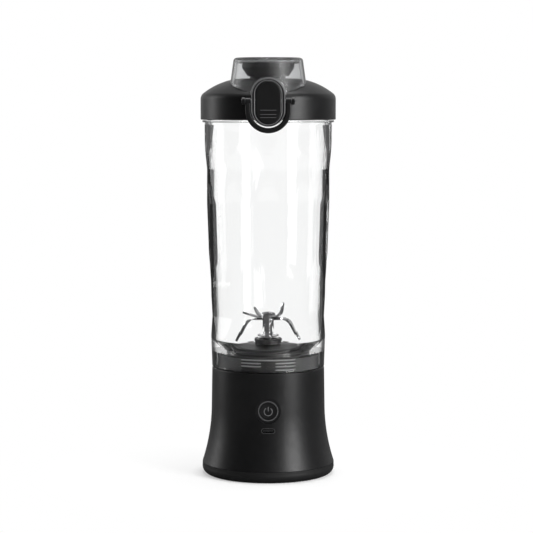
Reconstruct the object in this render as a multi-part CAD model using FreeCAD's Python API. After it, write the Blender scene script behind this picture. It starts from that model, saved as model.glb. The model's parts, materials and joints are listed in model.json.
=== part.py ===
import FreeCAD, Part
import math
import os

# Cordless portable blender bottle: a charging base with the blades on its deck, a clear faceted
# cup that screws down over the base's neck, and a screw lid with a spout under a flip cap.
# Millimetres. +Z is up, the front (power button, release button) faces -Y, and the origin is the
# middle of the foot, on the surface that the bottle stands on.

V = FreeCAD.Vector
X_AXIS = V(1, 0, 0)
Y_AXIS = V(0, 1, 0)
Z_AXIS = V(0, 0, 1)
SIDES = (-1, 1)

# ---------------------------------------------------------------- clearances
running_gap = 0.05       # shaft, pin or axle in its bore, radial
body_gap = 0.3           # between two pieces that move past each other
fit_gap = 0.05           # between pieces of one assembly that are pushed together

# ---------------------------------------------------------------- motor, cells and board
motor_radius = 12.2
motor_length = 30.8
motor_wall = 1.2
end_cap_height = 2.0
end_bearing_radius = 4.2
end_bearing_height = 2.6
magnet_thickness = 2.1
magnet_split = 4.5       # half the gap between the two magnets
magnet_overlap = 1.0     # how far the magnets pass the core at each end
air_gap = 0.5
core_length = 18.0
core_rise = 6.0          # end cap to the core
core_slots = 5
slot_width = 3.0
winding_head = 2.0
commutator_radius = 3.2
commutator_groove = 0.5
pilot_radius = 3.5       # the motor's pilot ring in the top plate
pilot_height = 1.5
cell_radius = 9.2
cell_length = 65.0
cell_bevel = 0.5         # the cell's rolled top edge
cell_nub_radius = 3.0
cell_side_gap = 0.5      # motor to cell, and cell to the neck's wall
cradle_plate = 1.2
cradle_wall = 1.0
cradle_height = 9.0
cradle_foot_radius = 5.0
cradle_bridge = 4.0      # half the width of the bar between the two cradle cups
pad_radius = 7.0
pad_thickness = 6.9
board_width = 22.0
board_height = 38.0
board_thickness = 1.6
board_drop = 9.5         # port's axis down to the board's lower edge
board_post_radius = 2.2
board_post_inset = 3.0
board_screw_radius = 0.75
board_screw_length = 3.5
switch_size = 6.0
switch_depth = 3.4
switch_plunger_radius = 1.7
switch_plunger = 0.6

# ---------------------------------------------------------------- base, outside
foot_height = 7.8        # top edge of the soft foot
foot_floor = 1.8         # thickness of the soft foot under the housing
foot_band = 2.3          # thickness of the soft foot round the housing
foot_seam = 0.2          # groove between the soft foot and the housing
foot_flare = 6.5         # shoulder out to the widest line of the foot
foot_tuck = 3.6          # widest line in to the edge that the bottle stands on
waist_swell = 0.4
waist_drop = 24.4        # shoulder down to the waist; below it the wall flares in one arc
shoulder_width = 3.6     # neck out to the base's top edge
shoulder_round = 0.5
base_wall = 2.4
neck_height = 9.3
neck_wall = 1.6
deck_plate = 2.7         # top plate of the neck
cover_thickness = 2.4
cover_gap = 0.2          # cover to the cradle

# ---------------------------------------------------------------- screws of the base
motor_screw_circle = 8.0
motor_screw_radius = 1.2
motor_screw_head = 1.3
deck_screw_inset = 4.4   # deck's edge in to its screws
deck_screw_radius = 1.4
deck_screw_tip = 1.0     # material left over the tips
cover_screw_inset = 5.6  # inside of the wall in to the cover's screws
cover_screw_radius = 1.4
cover_screw_length = 9.0
cover_boss_wall = 1.6
cover_boss_height = 16.0
screw_head_over = 1.3    # how far a screw's head stands out over its shank
screw_head_height = 1.3
screw_slack = 0.05       # shank to thread, radial

# ---------------------------------------------------------------- front controls
button_drop = 24.2       # shoulder down to the button's axis
button_radius = 5.6
button_travel = 0.5
button_thickness = 2.0
button_stem_radius = 2.2
button_dish_depth = 0.35
button_dish_radius = 40.0
light_ring_width = 0.6
dish_radius = 8.1        # flat ground in the wall round the button
dish_depth = 0.9
port_drop = 12.7         # button's axis down to the port's axis
port_width = 8.94
port_height = 3.26
port_shell = 0.3
port_depth = 8.8
port_inset = 0.3         # wall's surface in to the port's rim
tongue_width = 6.7
tongue_thickness = 0.7
tongue_inset = 0.9       # port's rim in to the tongue
port_back = 1.0          # thickness of the port's rear wall

# ---------------------------------------------------------------- blade deck
deck_margin = 7.8        # neck's edge in to the deck
deck_thickness = 3.7
deck_round = 1.2
boss_wall = 2.2
boss_height = 5.4
bearing_radius = 6.5
bearing_height = 5.0
bearing_groove = 0.3
race_width = 1.15
shaft_radius = 2.0
shaft_bore_room = 1.0    # web's hole round the shaft
seal_ledge = 0.5         # the seal's seat is this much narrower than the bearing's
seal_floor = 0.5         # web between the bearing and the lip seal
seal_top_drop = 0.6
base_seal_inset = 2.2    # neck's edge in to the seal ring
base_seal_play = 0.2
base_seal_thickness = 1.0
base_seal_lip = 1.3
base_seal_lip_height = 2.6

# ---------------------------------------------------------------- blades
washer_radius = 6.4
washer_thickness = 0.6
collar_radius = 3.6
collar_height = 1.3
spacer_radius = 2.8
spacer_height = 10.3
spacer_foot = 2.0
blade_thickness = 1.1
blade_land = 0.13        # thickness left at the ground edges
blade_hub_radius = 3.7
blade_root_width = 7.0
nut_height = 1.6
nut_flats = 6.4
lower_turn = 11.0        # degrees round the shaft
lower_flat = 8.6
lower_bend_radius = 8.0
lower_bend = -62.0       # degrees, down
lower_straight = 11.2
lower_tip = 0.7          # half the width at the tip
middle_turn = -26.0
broad_flat = 6.0
broad_bend_radius = 9.0
broad_bend = -6.0
broad_straight = 7.6
broad_tip = 1.7
slender_bend = 10.0
slender_straight = 12.0
slender_tip = 0.5
upper_turn = -33.0
steep_flat = 4.9
steep_bend_radius = 5.8
steep_bend = 74.0
steep_straight = 5.6
gentle_flat = 4.0
gentle_bend_radius = 5.5
gentle_bend = 52.0
gentle_straight = 3.8
upper_tip = 0.8

# ---------------------------------------------------------------- cup
cup_length = 175.3
neck_thread_room = 1.0   # neck to the cup's collar
collar_height_out = 17.3 # collar's foot up to the facets
cup_foot_swell = 0.55    # the collar grows this much above the base's edge
cup_mid_swell = 1.7      # and the wall this much more half way up
cup_high_swell = 4.05    # and this much more where the round upper band starts
cup_high_drop = 28.0     # rim down to the round upper band
cup_flange_over = 1.5
cup_flange_drop = 15.4
cup_flange_thickness = 1.3
cup_neck_wall = 2.2
cup_inner_step = 0.2     # the cavity's foot is this much wider than the collar
funnel_gap = 2.0         # deck's edge out to the funnel's lip
funnel_lip = 1.2
funnel_height = 6.8
funnel_blend = 4.0
rim_round = 0.7
facets_per_row = 10
facet_top_gap = 1.2      # flange down to where the highest facets may start

# ---------------------------------------------------------------- lid
lid_over = 1.1           # flange out to the skirt
lid_wall = 3.5
lid_foot_gap = 0.4       # cup's flange up to the skirt
lid_foot_round = 0.5
lid_thread_room = 1.1    # lid's inside to the cup's neck
lid_seal_thickness = 1.7
lid_seal_width = 3.8
lid_seal_play = 0.4
lid_shoulder_height = 13.3
lid_shoulder_round = 3.5
lid_shoulder_step = 1.5
lid_crown_height = 26.5
crown_inset = 24.0       # skirt in to the flat middle of the crown
crown_fullness = 0.604   # where the crown's arc bulges, out from the flat middle
crown_sag = 4.1
lid_skin = 2.6
spout_radius = 12.0
spout_step = 1.0
spout_wall = 1.4
spout_height = 7.4
spout_flange = 1.2
spout_lip = 0.6

# ---------------------------------------------------------------- flip cap
cap_height = 13.2        # crown of the lid to the top of the cap
cap_top_radius = 22.1
cap_taper = 0.138        # growth of the radius for each mm further down
cap_wall = 1.8
cap_reach_inset = 26.0   # skirt in to the centre of the cap's front round
cap_edge_round = 2.4
cap_gap = 0.35           # cap to the lid and to the tower
cap_bead = 2.0           # width of the rib along the arch
cap_bead_rise = 0.5
plug_inset = 4.8         # cap's top edge in to the plug
plug_nose = 1.5
plug_skirt = 1.15
plug_press = 0.4         # plug to the spout's lip
cap_hinge_out = 4.4      # cap's top edge out to the hinge
cap_hinge_rise = 1.5
cap_arm_length = 4.1
cap_arm_low = 1.4
cap_arm_high = 1.6
knuckle_radius = 2.1
knuckle_inner = 2.8
knuckle_outer = 5.9
hinge_pin_radius = 0.95
ear_width = 3.2
ear_root = 4.5           # how deep the hinge ears are rooted under the crown
cap_spring_wire = 0.25
spring_turns = 6
spring_pitch = 0.7

# ---------------------------------------------------------------- latch and loop
tower_width = 21.1
tower_drop = 4.0         # how far the tower hangs below the lid's edge
tower_top_drop = 0.2     # crown down to the tower's top
tower_out = 4.9          # skirt out to the tower's front
tower_in = 5.5           # skirt in to the tower's back
tower_cup_gap = 0.45
tower_edge = 0.45        # bevel of the tower's front edges
recess_depth = 4.6
recess_wall = 2.1
recess_end = 1.75        # recess and button end this far inside the tower
release_gap = 0.4
release_out = 0.6
release_thickness = 2.5
release_round = 0.7
rib_rises = (8.2, 5.5, 3.6)
rib_half_length = 5.3
rib_height = 0.35
rib_half_width = 0.35
lug_inner = 3.0          # the button's two lugs on the cross pin
lug_outer = 5.0
lug_radius = 2.0
catch_half_width = 4.0
catch_depth = 4.0        # the cap's catch reaches this far down into the tower
catch_slot = 0.6         # gap round the catch
catch_overlap = 1.5      # how far the catch runs up into the cap's wall
hook_half_width = 3.3
hook_thickness = 1.6
hook_rise = 1.4          # catch's lower edge up to the hook's top
hook_play = 0.5
button_spring_wire = 0.2
spring_play = 0.1
loop_side_gap = 0.5
loop_band = 3.35
loop_depth = 3.0
loop_gap_below = 0.75
loop_knuckle = 2.0
loop_round = 0.8
loop_ear_width = 1.85
loop_ear_radius = 2.3
cross_pin_radius = 1.0   # one pin carries the release button and the loop
cross_pin_in = 2.2       # tower's front in to the pin
cross_pin_rise = 12.1    # above the lid's lower edge
cross_pin_end = 0.3

# ---------------------------------------------------------------- radii worked out from the above
cell_x = motor_radius + cell_side_gap + cell_radius
neck_radius = cell_x + cell_radius + cell_side_gap + neck_wall
base_top_radius = neck_radius + shoulder_width
waist_radius = base_top_radius + waist_swell
foot_radius = base_top_radius + foot_flare
foot_contact_radius = foot_radius - foot_tuck
housing_foot_radius = foot_radius - foot_band
cover_screw_circle = housing_foot_radius - base_wall - cover_screw_inset
deck_radius = neck_radius - deck_margin
deck_screw_circle = deck_radius - deck_screw_inset
boss_radius = bearing_radius + boss_wall
seal_radius = bearing_radius - seal_ledge
base_seal_outer = neck_radius - base_seal_inset
magnet_inner = motor_radius - motor_wall - magnet_thickness
core_radius = magnet_inner - air_gap
collar_inner_radius = neck_radius + neck_thread_room
collar_foot_radius = base_top_radius
cup_low_radius = base_top_radius + cup_foot_swell
cup_mid_radius = cup_low_radius + cup_mid_swell
cup_high_radius = cup_low_radius + cup_high_swell
cup_flange_radius = cup_high_radius + cup_flange_over
cup_inner_low = collar_inner_radius + cup_inner_step
funnel_radius = deck_radius + funnel_gap
lid_radius = cup_flange_radius + lid_over
lid_inner_radius = lid_radius - lid_wall
cup_neck_radius = lid_inner_radius - lid_thread_room
cup_inner_high = cup_neck_radius - cup_neck_wall
crown_radius = lid_radius - crown_inset
spout_mouth_radius = spout_radius - spout_step
spout_bore = spout_mouth_radius - spout_wall
cap_front_centre = lid_radius - cap_reach_inset
plug_radius = cap_top_radius - plug_inset
cap_hinge_y = cap_top_radius + cap_hinge_out
tower_front = lid_radius + tower_out
tower_back = lid_radius - tower_in
release_front = tower_front + release_out
release_back = -release_front + release_thickness
recess_floor = tower_front - recess_depth
release_width = tower_width - 2 * (recess_wall + release_gap)
loop_inner = tower_width / 2 + loop_side_gap
loop_outer = loop_inner + loop_band
cross_pin_y = tower_front - cross_pin_in
cross_pin_reach = loop_outer + body_gap + loop_ear_width + cross_pin_end
spring_radius = cross_pin_radius + running_gap + spring_play + button_spring_wire
spring_outer = spring_radius + button_spring_wire

# ---------------------------------------------------------------- levels worked out from the above
housing_bottom = foot_floor
cover_top = housing_bottom + cover_thickness
cell_bottom = cover_top + cover_gap + cradle_plate
cell_top = cell_bottom + cell_length
plate_bottom = cell_top - cell_bevel + pad_thickness
neck_top = plate_bottom + deck_plate
base_height = neck_top - neck_height
waist_z = base_height - waist_drop
button_z = base_height - button_drop
port_z = button_z - port_drop
board_bottom_z = port_z - board_drop
foot_top = foot_height - foot_seam
motor_bottom = plate_bottom - motor_length
core_bottom = motor_bottom + core_rise
core_top = core_bottom + core_length
deck_top = neck_top + deck_thickness
boss_top = deck_top + boss_height
bearing_top = neck_top + bearing_height
seal_low = bearing_top + seal_floor
blade_base = boss_top + body_gap + collar_height + washer_thickness + spacer_height
cup_bottom = base_height + body_gap
cup_rim = cup_bottom + cup_length
cup_low_z = cup_bottom + collar_height_out
cup_high_z = cup_rim - cup_high_drop
flange_bottom = cup_rim - cup_flange_drop
flange_top = flange_bottom + cup_flange_thickness
lid_bottom = flange_top + lid_foot_gap
seal_bottom = cup_rim + body_gap
lid_ceiling = seal_bottom + lid_seal_thickness
lid_shoulder = lid_bottom + lid_shoulder_height
crown_z = lid_bottom + lid_crown_height
spout_top = crown_z + spout_height
cap_top = crown_z + cap_height
cap_hinge_z = crown_z + cap_hinge_rise
tower_bottom = lid_bottom - tower_drop
tower_top = crown_z - tower_top_drop
release_bottom = tower_bottom + recess_end
release_top = tower_top - recess_end
catch_low = tower_top - catch_depth
cross_pin_z = lid_bottom + cross_pin_rise
far = 2 * foot_radius    # a cut that leaves the part altogether ends here


# ---------------------------------------------------------------- helpers
def outline(start, *steps):
    """A closed wire in the XZ plane. A step is a point, or a pair of points for an arc."""
    edges = []
    here = V(start[0], 0, start[1])
    first = here
    for step in steps:
        if isinstance(step[0], tuple):
            middle = V(step[0][0], 0, step[0][1])
            there = V(step[1][0], 0, step[1][1])
            edges.append(Part.Arc(here, middle, there).toShape())
        else:
            there = V(step[0], 0, step[1])
            edges.append(Part.makeLine(here, there))
        here = there
    if here.distanceToPoint(first) > 1e-6:
        edges.append(Part.makeLine(here, first))
    return Part.Wire(edges)


def turned(start, *steps):
    """The solid that an XZ outline sweeps round the Z axis."""
    face = Part.Face(outline(start, *steps))
    return face.revolve(V(0, 0, 0), Z_AXIS, 360)


def tube(outer, inner, low, high, x=0.0, y=0.0):
    place = V(x, y, low)
    return Part.makeCylinder(outer, high - low, place).cut(Part.makeCylinder(inner, high - low, place))


def rod(radius, low, high, x=0.0, y=0.0):
    return Part.makeCylinder(radius, high - low, V(x, y, low))


def cross_rod(radius, x_low, x_high, y, z):
    """A cylinder along X."""
    return Part.makeCylinder(radius, x_high - x_low, V(x_low, y, z), X_AXIS)


def facing_rod(radius, y_low, y_high, x, z):
    """A cylinder along Y."""
    return Part.makeCylinder(radius, y_high - y_low, V(x, y_low, z), Y_AXIS)


def block(x_low, x_high, y_low, y_high, z_low, z_high):
    return Part.makeBox(x_high - x_low, y_high - y_low, z_high - z_low, V(x_low, y_low, z_low))


def fused(first, *others):
    shape = first
    for other in others:
        shape = shape.fuse(other)
    return shape.removeSplitter()


def stadium_wire(half_width, low, high, level, along):
    """A stadium round the X = 0 line from low to high, in the plane across Z or across Y."""
    def point(x, run):
        return V(x, run, level) if along == "y" else V(x, level, run)

    top = high - half_width
    bottom = low + half_width
    edges = [Part.Arc(point(half_width, top), point(0, high), point(-half_width, top)).toShape()]
    if top - bottom > 1e-6:
        edges.append(Part.makeLine(point(-half_width, top), point(-half_width, bottom)))
    edges.append(Part.Arc(point(-half_width, bottom), point(0, low), point(half_width, bottom)).toShape())
    if top - bottom > 1e-6:
        edges.append(Part.makeLine(point(half_width, bottom), point(half_width, top)))
    return Part.Wire(edges)


def front_stadium(width, z_low, z_high, y_front, y_back):
    """An upright stadium block that runs from the front plane to the back plane."""
    face = Part.Face(stadium_wire(width / 2, z_low, z_high, y_front, "z"))
    return face.extrude(V(0, y_back - y_front, 0))


def rounded(shape, radius, choose):
    """Rounds the edges that the test picks out."""
    edges = [edge for edge in shape.Edges if choose(edge)]
    return shape.makeFillet(radius, edges)


def around(shape, count, start=0.0):
    """Copies of a shape, evenly spaced round the Z axis."""
    copies = []
    for index in range(count):
        copy = shape.copy()
        copy.rotate(V(0, 0, 0), Z_AXIS, start + index * 360.0 / count)
        copies.append(copy)
    return copies


# ---------------------------------------------------------------- base housing and foot
flare_drop = waist_z - foot_height
flare_out = foot_radius - waist_radius
flare_arc = (flare_drop ** 2 + flare_out ** 2) / (2 * flare_out)


def base_radius(z):
    """Outside radius of the base at a height."""
    if z >= waist_z:
        share = (z - waist_z) / (base_height - waist_z)
        return waist_radius + share * (base_top_radius - waist_radius)
    drop = waist_z - z
    return waist_radius + flare_arc - math.sqrt(flare_arc ** 2 - drop ** 2)


def base_solid(inset, low):
    """The base's outer form, taken in by inset, from low up to the shoulder."""
    middle_z = (waist_z + low) / 2
    return turned(
        (0, low),
        (base_radius(low) - inset, low),
        ((base_radius(middle_z) - inset, middle_z), (waist_radius - inset, waist_z)),
        (base_top_radius - inset, base_height),
        (0, base_height),
    )


board_face_y = -(base_radius(port_z) - port_depth)
button_floor_y = -(base_radius(button_z) - dish_depth)
port_front_y = -(base_radius(port_z) - port_inset)


def screw_boss():
    """A boss for a cover screw, tied to the wall by a rib."""
    top = cover_top + cover_boss_height
    boss = rod(cover_screw_radius + cover_boss_wall, cover_top, top, cover_screw_circle)
    half = cover_boss_wall / 2
    return boss.fuse(block(cover_screw_circle, foot_radius, -half, half, cover_top, top))


def board_posts():
    """Where the board is screwed down: (x, z) near its four corners."""
    posts = []
    for side in SIDES:
        for z in (board_bottom_z + board_post_inset, board_bottom_z + board_height - board_post_inset - 1.0):
            posts.append((side * (board_width / 2 - board_post_inset), z))
    return posts


def base_housing():
    outside = base_solid(0, foot_height)
    skirt = rod(housing_foot_radius, housing_bottom, foot_height)
    neck = rod(neck_radius, base_height, neck_top)
    shell = fused(outside, skirt, neck)
    inner_high = base_height - base_wall
    room = base_solid(base_wall, foot_height + base_wall)
    room = room.common(rod(foot_radius, housing_bottom, inner_high))
    foot_room = rod(housing_foot_radius - base_wall, housing_bottom, foot_height + base_wall)
    neck_room = rod(neck_radius - neck_wall, inner_high - base_wall, plate_bottom)
    shell = shell.cut(room.fuse(foot_room).fuse(neck_room))
    for boss in around(screw_boss(), 4, 45):
        shell = shell.fuse(boss.common(fused(base_solid(base_wall / 2, foot_height), skirt)))
    for x, z in board_posts():
        wall_y = -(base_radius(z) - base_wall / 2)
        shell = shell.fuse(facing_rod(board_post_radius, wall_y, board_face_y, x, z))
    inside_y = -(base_top_radius - base_wall - body_gap)
    ring_seat = button_radius + body_gap + light_ring_width
    cuts = [facing_rod(dish_radius, -far, button_floor_y, 0, button_z)]
    cuts.append(facing_rod(ring_seat, -far, inside_y, 0, button_z))
    cuts.append(port_block(port_width + 2 * fit_gap, port_height + 2 * fit_gap, -far, inside_y))
    cuts.append(rod(pilot_radius + shaft_bore_room, plate_bottom, neck_top))
    for y in (-motor_screw_circle, motor_screw_circle):
        cuts.append(rod(motor_screw_radius + fit_gap, plate_bottom, neck_top, 0, y))
        cuts.append(countersink(fit_gap, y))
    cuts += around(rod(deck_screw_radius + fit_gap, plate_bottom, neck_top, deck_screw_circle), 4, 45)
    pilot = rod(cover_screw_radius, cover_top, cover_top + cover_screw_length, cover_screw_circle)
    cuts += around(pilot, 4, 45)
    for x, z in board_posts():
        hole_y = board_face_y - board_screw_length - 2 * screw_slack
        cuts.append(facing_rod(board_screw_radius + screw_slack, hole_y, board_face_y, x, z))
    for cut in cuts:
        shell = shell.cut(cut)
    return rounded(
        shell.removeSplitter(), shoulder_round,
        lambda e: on_circle(e, base_top_radius, base_height) or on_circle(e, neck_radius, neck_top),
    )


def on_circle(edge, radius, z):
    """True for a full circle round Z with this radius and height."""
    curve = edge.Curve
    if not isinstance(curve, Part.Circle):
        return False
    centre = curve.Center
    level = abs(centre.z - z) < 1e-4 and abs(centre.x) < 1e-4 and abs(centre.y) < 1e-4
    return level and abs(curve.Radius - radius) < 1e-4


def port_block(width, height, y_front, y_back):
    """A pill-shaped block on the port's centre line."""
    half = height / 2
    face = Part.Face(stadium_wire(half, -width / 2, width / 2, 0, "y"))
    solid = face.extrude(V(0, 0, y_back - y_front))
    solid.rotate(V(0, 0, 0), Z_AXIS, 90)
    solid.rotate(V(0, 0, 0), X_AXIS, -90)
    solid.translate(V(0, y_front, port_z))
    return solid


def rubber_foot():
    inner = housing_foot_radius + fit_gap
    bulge_z = foot_top - 0.75 * foot_top
    return turned(
        (0, 0),
        (foot_contact_radius, 0),
        ((foot_radius - 0.25 * foot_tuck, bulge_z), (foot_radius, foot_top - 0.25 * foot_top)),
        (foot_radius, foot_top),
        (inner, foot_top),
        (inner, foot_floor),
        (0, foot_floor),
    )


def bottom_cover():
    radius = housing_foot_radius - base_wall - 2 * fit_gap
    plate = rod(radius, housing_bottom, cover_top)
    hole = rod(cover_screw_radius + 4 * screw_slack, housing_bottom, cover_top, cover_screw_circle)
    head_radius = cover_screw_radius + screw_head_over + 2 * fit_gap
    head = rod(head_radius, housing_bottom, housing_bottom + screw_head_height, cover_screw_circle)
    for cut in around(hole.fuse(head), 4, 45):
        plate = plate.cut(cut)
    return plate


def screw(thread_radius, length):
    """A slotted pan-head screw, head down at z = 0, shank up."""
    head_radius = thread_radius + screw_head_over
    head = rod(head_radius, 0, screw_head_height)
    slot_half = head_radius / 9
    slot = block(-head_radius, head_radius, -slot_half, slot_half, 0, 0.45 * screw_head_height)
    shank = rod(thread_radius - screw_slack, screw_head_height, screw_head_height + length)
    return head.cut(slot).fuse(shank)


def countersink(grow, y):
    """The conical head of a motor screw, flush with the top plate."""
    low = motor_screw_radius - screw_slack + grow
    high = low + screw_head_over
    return Part.makeCone(low, high, motor_screw_head, V(0, y, neck_top - motor_screw_head))


def cover_screws():
    one = screw(cover_screw_radius, cover_screw_length)
    one.translate(V(cover_screw_circle, 0, housing_bottom))
    return Part.makeCompound(around(one, 4, 45))


def deck_screws():
    one = screw(deck_screw_radius, deck_plate + deck_thickness - deck_screw_tip)
    one.translate(V(deck_screw_circle, 0, plate_bottom - screw_head_height))
    return Part.makeCompound(around(one, 4, 45))


# ---------------------------------------------------------------- blade deck
def blade_deck():
    """The plate over the neck, with the bearing under its boss and the lip seal in it."""
    soft = deck_round * (1 - math.sqrt(0.5))
    bevel = 0.4 * deck_round
    hole_radius = shaft_radius + shaft_bore_room
    deck = turned(
        (bearing_radius, neck_top),
        (deck_radius, neck_top),
        (deck_radius, deck_top - deck_round),
        ((deck_radius - soft, deck_top - soft), (deck_radius - deck_round, deck_top)),
        (boss_radius, deck_top),
        (boss_radius, boss_top - bevel),
        (boss_radius - bevel, boss_top),
        (seal_radius, boss_top),
        (seal_radius, seal_low),
        (hole_radius, seal_low),
        (hole_radius, bearing_top),
        (bearing_radius, bearing_top),
    )
    hole_top = neck_top + deck_thickness - 0.8 * deck_screw_tip
    hole = rod(deck_screw_radius, neck_top, hole_top, deck_screw_circle)
    for blind in around(hole, 4, 45):
        deck = deck.cut(blind)
    return deck


def shaft_bearing():
    """A ball bearing, closed by its shields: two races with a shallow groove between them."""
    ring = tube(bearing_radius - fit_gap, shaft_radius + running_gap, neck_top, bearing_top)
    outer_race = bearing_radius - race_width
    inner_race = shaft_radius + race_width
    over = tube(outer_race, inner_race, bearing_top - bearing_groove, bearing_top)
    under = tube(outer_race, inner_race, neck_top, neck_top + bearing_groove)
    return ring.cut(over).cut(under)


def shaft_seal():
    """A lip seal: its bore touches the shaft along one edge, under an open hollow."""
    high = boss_top - seal_top_drop
    step = (high - seal_low) / 5
    bore = shaft_radius + running_gap
    outer = seal_radius - fit_gap
    room = outer - bore
    return turned(
        (bore, seal_low + step),
        (bore + 0.2 * room, seal_low),
        (outer, seal_low),
        (outer, high),
        (bore + 0.4 * room, high),
        (bore + 0.3 * room, high - 2 * step),
        (bore, high - 1.4 * step),
    )


def base_seal():
    """A flat ring between neck and cup, with a lip that stands up round the deck."""
    inner = deck_radius + base_seal_play
    lip = inner + base_seal_lip
    ring_top = neck_top + base_seal_thickness
    round_z = neck_top + base_seal_lip_height - base_seal_lip / 2
    return turned(
        (inner, neck_top),
        (base_seal_outer, neck_top),
        (base_seal_outer, ring_top),
        (lip, ring_top),
        (lip, round_z),
        (((inner + lip) / 2, neck_top + base_seal_lip_height), (inner, round_z)),
    )


# ---------------------------------------------------------------- motor
def motor_can():
    can = turned(
        (shaft_radius + running_gap, plate_bottom - motor_wall),
        (motor_radius - motor_wall, plate_bottom - motor_wall),
        (motor_radius - motor_wall, motor_bottom),
        (motor_radius, motor_bottom),
        (motor_radius, plate_bottom),
        (pilot_radius, plate_bottom),
        (pilot_radius, plate_bottom + pilot_height),
        (shaft_radius + running_gap, plate_bottom + pilot_height),
    )
    for y in (-motor_screw_circle, motor_screw_circle):
        can = can.cut(rod(motor_screw_radius, plate_bottom - motor_wall, plate_bottom, 0, y))
    return can


def motor_screws():
    both = []
    head_low = neck_top - motor_screw_head
    for y in (-motor_screw_circle, motor_screw_circle):
        shank = rod(motor_screw_radius - screw_slack, plate_bottom - motor_wall, head_low, 0, y)
        both.append(countersink(0, y).fuse(shank))
    return Part.makeCompound(both)


def motor_magnets():
    low = core_bottom - magnet_overlap
    high = core_top + magnet_overlap
    ring = tube(motor_radius - motor_wall - fit_gap, magnet_inner, low, high)
    keep = block(magnet_split, motor_radius, -motor_radius, motor_radius, low, high)
    return Part.makeCompound(around(ring.common(keep), 2))


def motor_end_cap():
    low = motor_bottom - end_cap_height
    bore = shaft_radius + running_gap
    return turned(
        (bore, low - end_bearing_height),
        (end_bearing_radius, low - end_bearing_height),
        (end_bearing_radius, low),
        (motor_radius, low),
        (motor_radius, motor_bottom),
        (bore, motor_bottom),
    )


slot_outer = core_radius - 0.17 * core_radius
slot_inner = shaft_radius + 0.3 * core_radius


def core_slot(width):
    """The room of one winding slot of the core."""
    return block(slot_inner, slot_outer, -width / 2, width / 2, core_bottom, core_top)


def armature():
    """The slotted core: each slot has a narrow mouth with a wide room behind it."""
    core = tube(core_radius, shaft_radius, core_bottom, core_top)
    mouth_half = slot_width / 5
    mouth = block(slot_outer - mouth_half, motor_radius, -mouth_half, mouth_half, core_bottom, core_top)
    for cut in around(core_slot(slot_width).fuse(mouth), core_slots):
        core = core.cut(cut)
    return core


def armature_windings():
    coils = around(core_slot(slot_width - 4 * fit_gap), core_slots)
    inner = 0.8 * slot_inner
    low_ring = tube(slot_outer, inner, core_bottom - winding_head, core_bottom)
    high_ring = tube(slot_outer, inner, core_top, core_top + winding_head)
    return fused(low_ring, high_ring, *coils)


def commutator():
    low = motor_bottom + commutator_groove
    high = core_bottom - winding_head
    drum = tube(commutator_radius, shaft_radius, low, high)
    floor = commutator_radius - commutator_groove
    half = 0.3 * commutator_groove
    gap = block(floor, motor_radius, -half, half, low, high - 2 * commutator_groove)
    for cut in around(gap, core_slots):
        drum = drum.cut(cut)
    return drum


# ---------------------------------------------------------------- cells and board
def battery_cells():
    cells = []
    rim = cell_top - cell_bevel
    for side in SIDES:
        can = rod(cell_radius, cell_bottom, rim - 0.6 * cell_bevel, side * cell_x)
        neck = rod(cell_radius - cell_bevel, cell_bottom, rim, side * cell_x)
        cells.append(fused(can, neck, rod(cell_nub_radius, cell_bottom, cell_top, side * cell_x)))
    return Part.makeCompound(cells)


def battery_cradle():
    low = cell_bottom - cradle_plate
    high = low + cradle_height
    outer = cell_radius + fit_gap + cradle_wall
    cradle = block(-cell_x, cell_x, -cradle_bridge, cradle_bridge, low, cell_bottom)
    for side in SIDES:
        cradle = cradle.fuse(rod(outer, low, high, side * cell_x))
    for side in SIDES:
        cradle = cradle.cut(rod(cell_radius + fit_gap, cell_bottom, high, side * cell_x))
    feet = [rod(cradle_foot_radius, cover_top, low, side * cell_x) for side in SIDES]
    return fused(cradle, *feet)


def cell_pads():
    low = cell_top - cell_bevel
    hole = cell_nub_radius + 4 * fit_gap
    return Part.makeCompound([tube(pad_radius, hole, low, plate_bottom, side * cell_x) for side in SIDES])


def control_board():
    half = board_width / 2
    top = board_bottom_z + board_height
    board = block(-half, half, board_face_y, board_face_y + board_thickness, board_bottom_z, top)
    for x, z in board_posts():
        hole_radius = board_screw_radius + 3 * screw_slack
        board = board.cut(facing_rod(hole_radius, board_face_y, board_face_y + board_thickness, x, z))
    return board


def board_screws():
    screws = []
    back = board_face_y + board_thickness
    for x, z in board_posts():
        head = facing_rod(2 * board_screw_radius, back, back + board_screw_radius, x, z)
        shank = facing_rod(board_screw_radius, board_face_y - board_screw_length, back, x, z)
        screws.append(head.fuse(shank))
    return Part.makeCompound(screws)


def tact_switch():
    half = switch_size / 2
    front = board_face_y - switch_depth
    body = block(-half, half, front, board_face_y, button_z - half, button_z + half)
    return body.fuse(facing_rod(switch_plunger_radius, front - switch_plunger, front, 0, button_z))


def usb_c_port():
    shell = port_block(port_width, port_height, port_front_y, board_face_y)
    inner_width = port_width - 2 * port_shell
    inner_height = port_height - 2 * port_shell
    return shell.cut(port_block(inner_width, inner_height, port_front_y, board_face_y - port_back))


def usb_c_tongue():
    front = port_front_y + tongue_inset
    half = tongue_width / 2
    low = port_z - tongue_thickness / 2
    return block(-half, half, front, board_face_y - port_back, low, low + tongue_thickness)


def light_ring():
    outer = button_radius + body_gap + light_ring_width
    inner = button_radius + body_gap
    back = button_floor_y + base_wall
    ring = facing_rod(outer - fit_gap / 2, button_floor_y, back, 0, button_z)
    return ring.cut(facing_rod(inner, button_floor_y, back, 0, button_z))


def power_button():
    """The cap, dished on its face, with a stem that stops one travel short of the switch."""
    face_y = button_floor_y
    plunger_y = board_face_y - switch_depth - switch_plunger
    cap = facing_rod(button_radius, face_y, face_y + button_thickness, 0, button_z)
    dish_y = face_y - button_dish_radius + button_dish_depth
    dish = Part.makeSphere(button_dish_radius, V(0, dish_y, button_z))
    stem_y = plunger_y - button_travel - fit_gap
    stem = facing_rod(button_stem_radius, face_y + button_thickness, stem_y, 0, button_z)
    return cap.cut(dish).fuse(stem)


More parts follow.
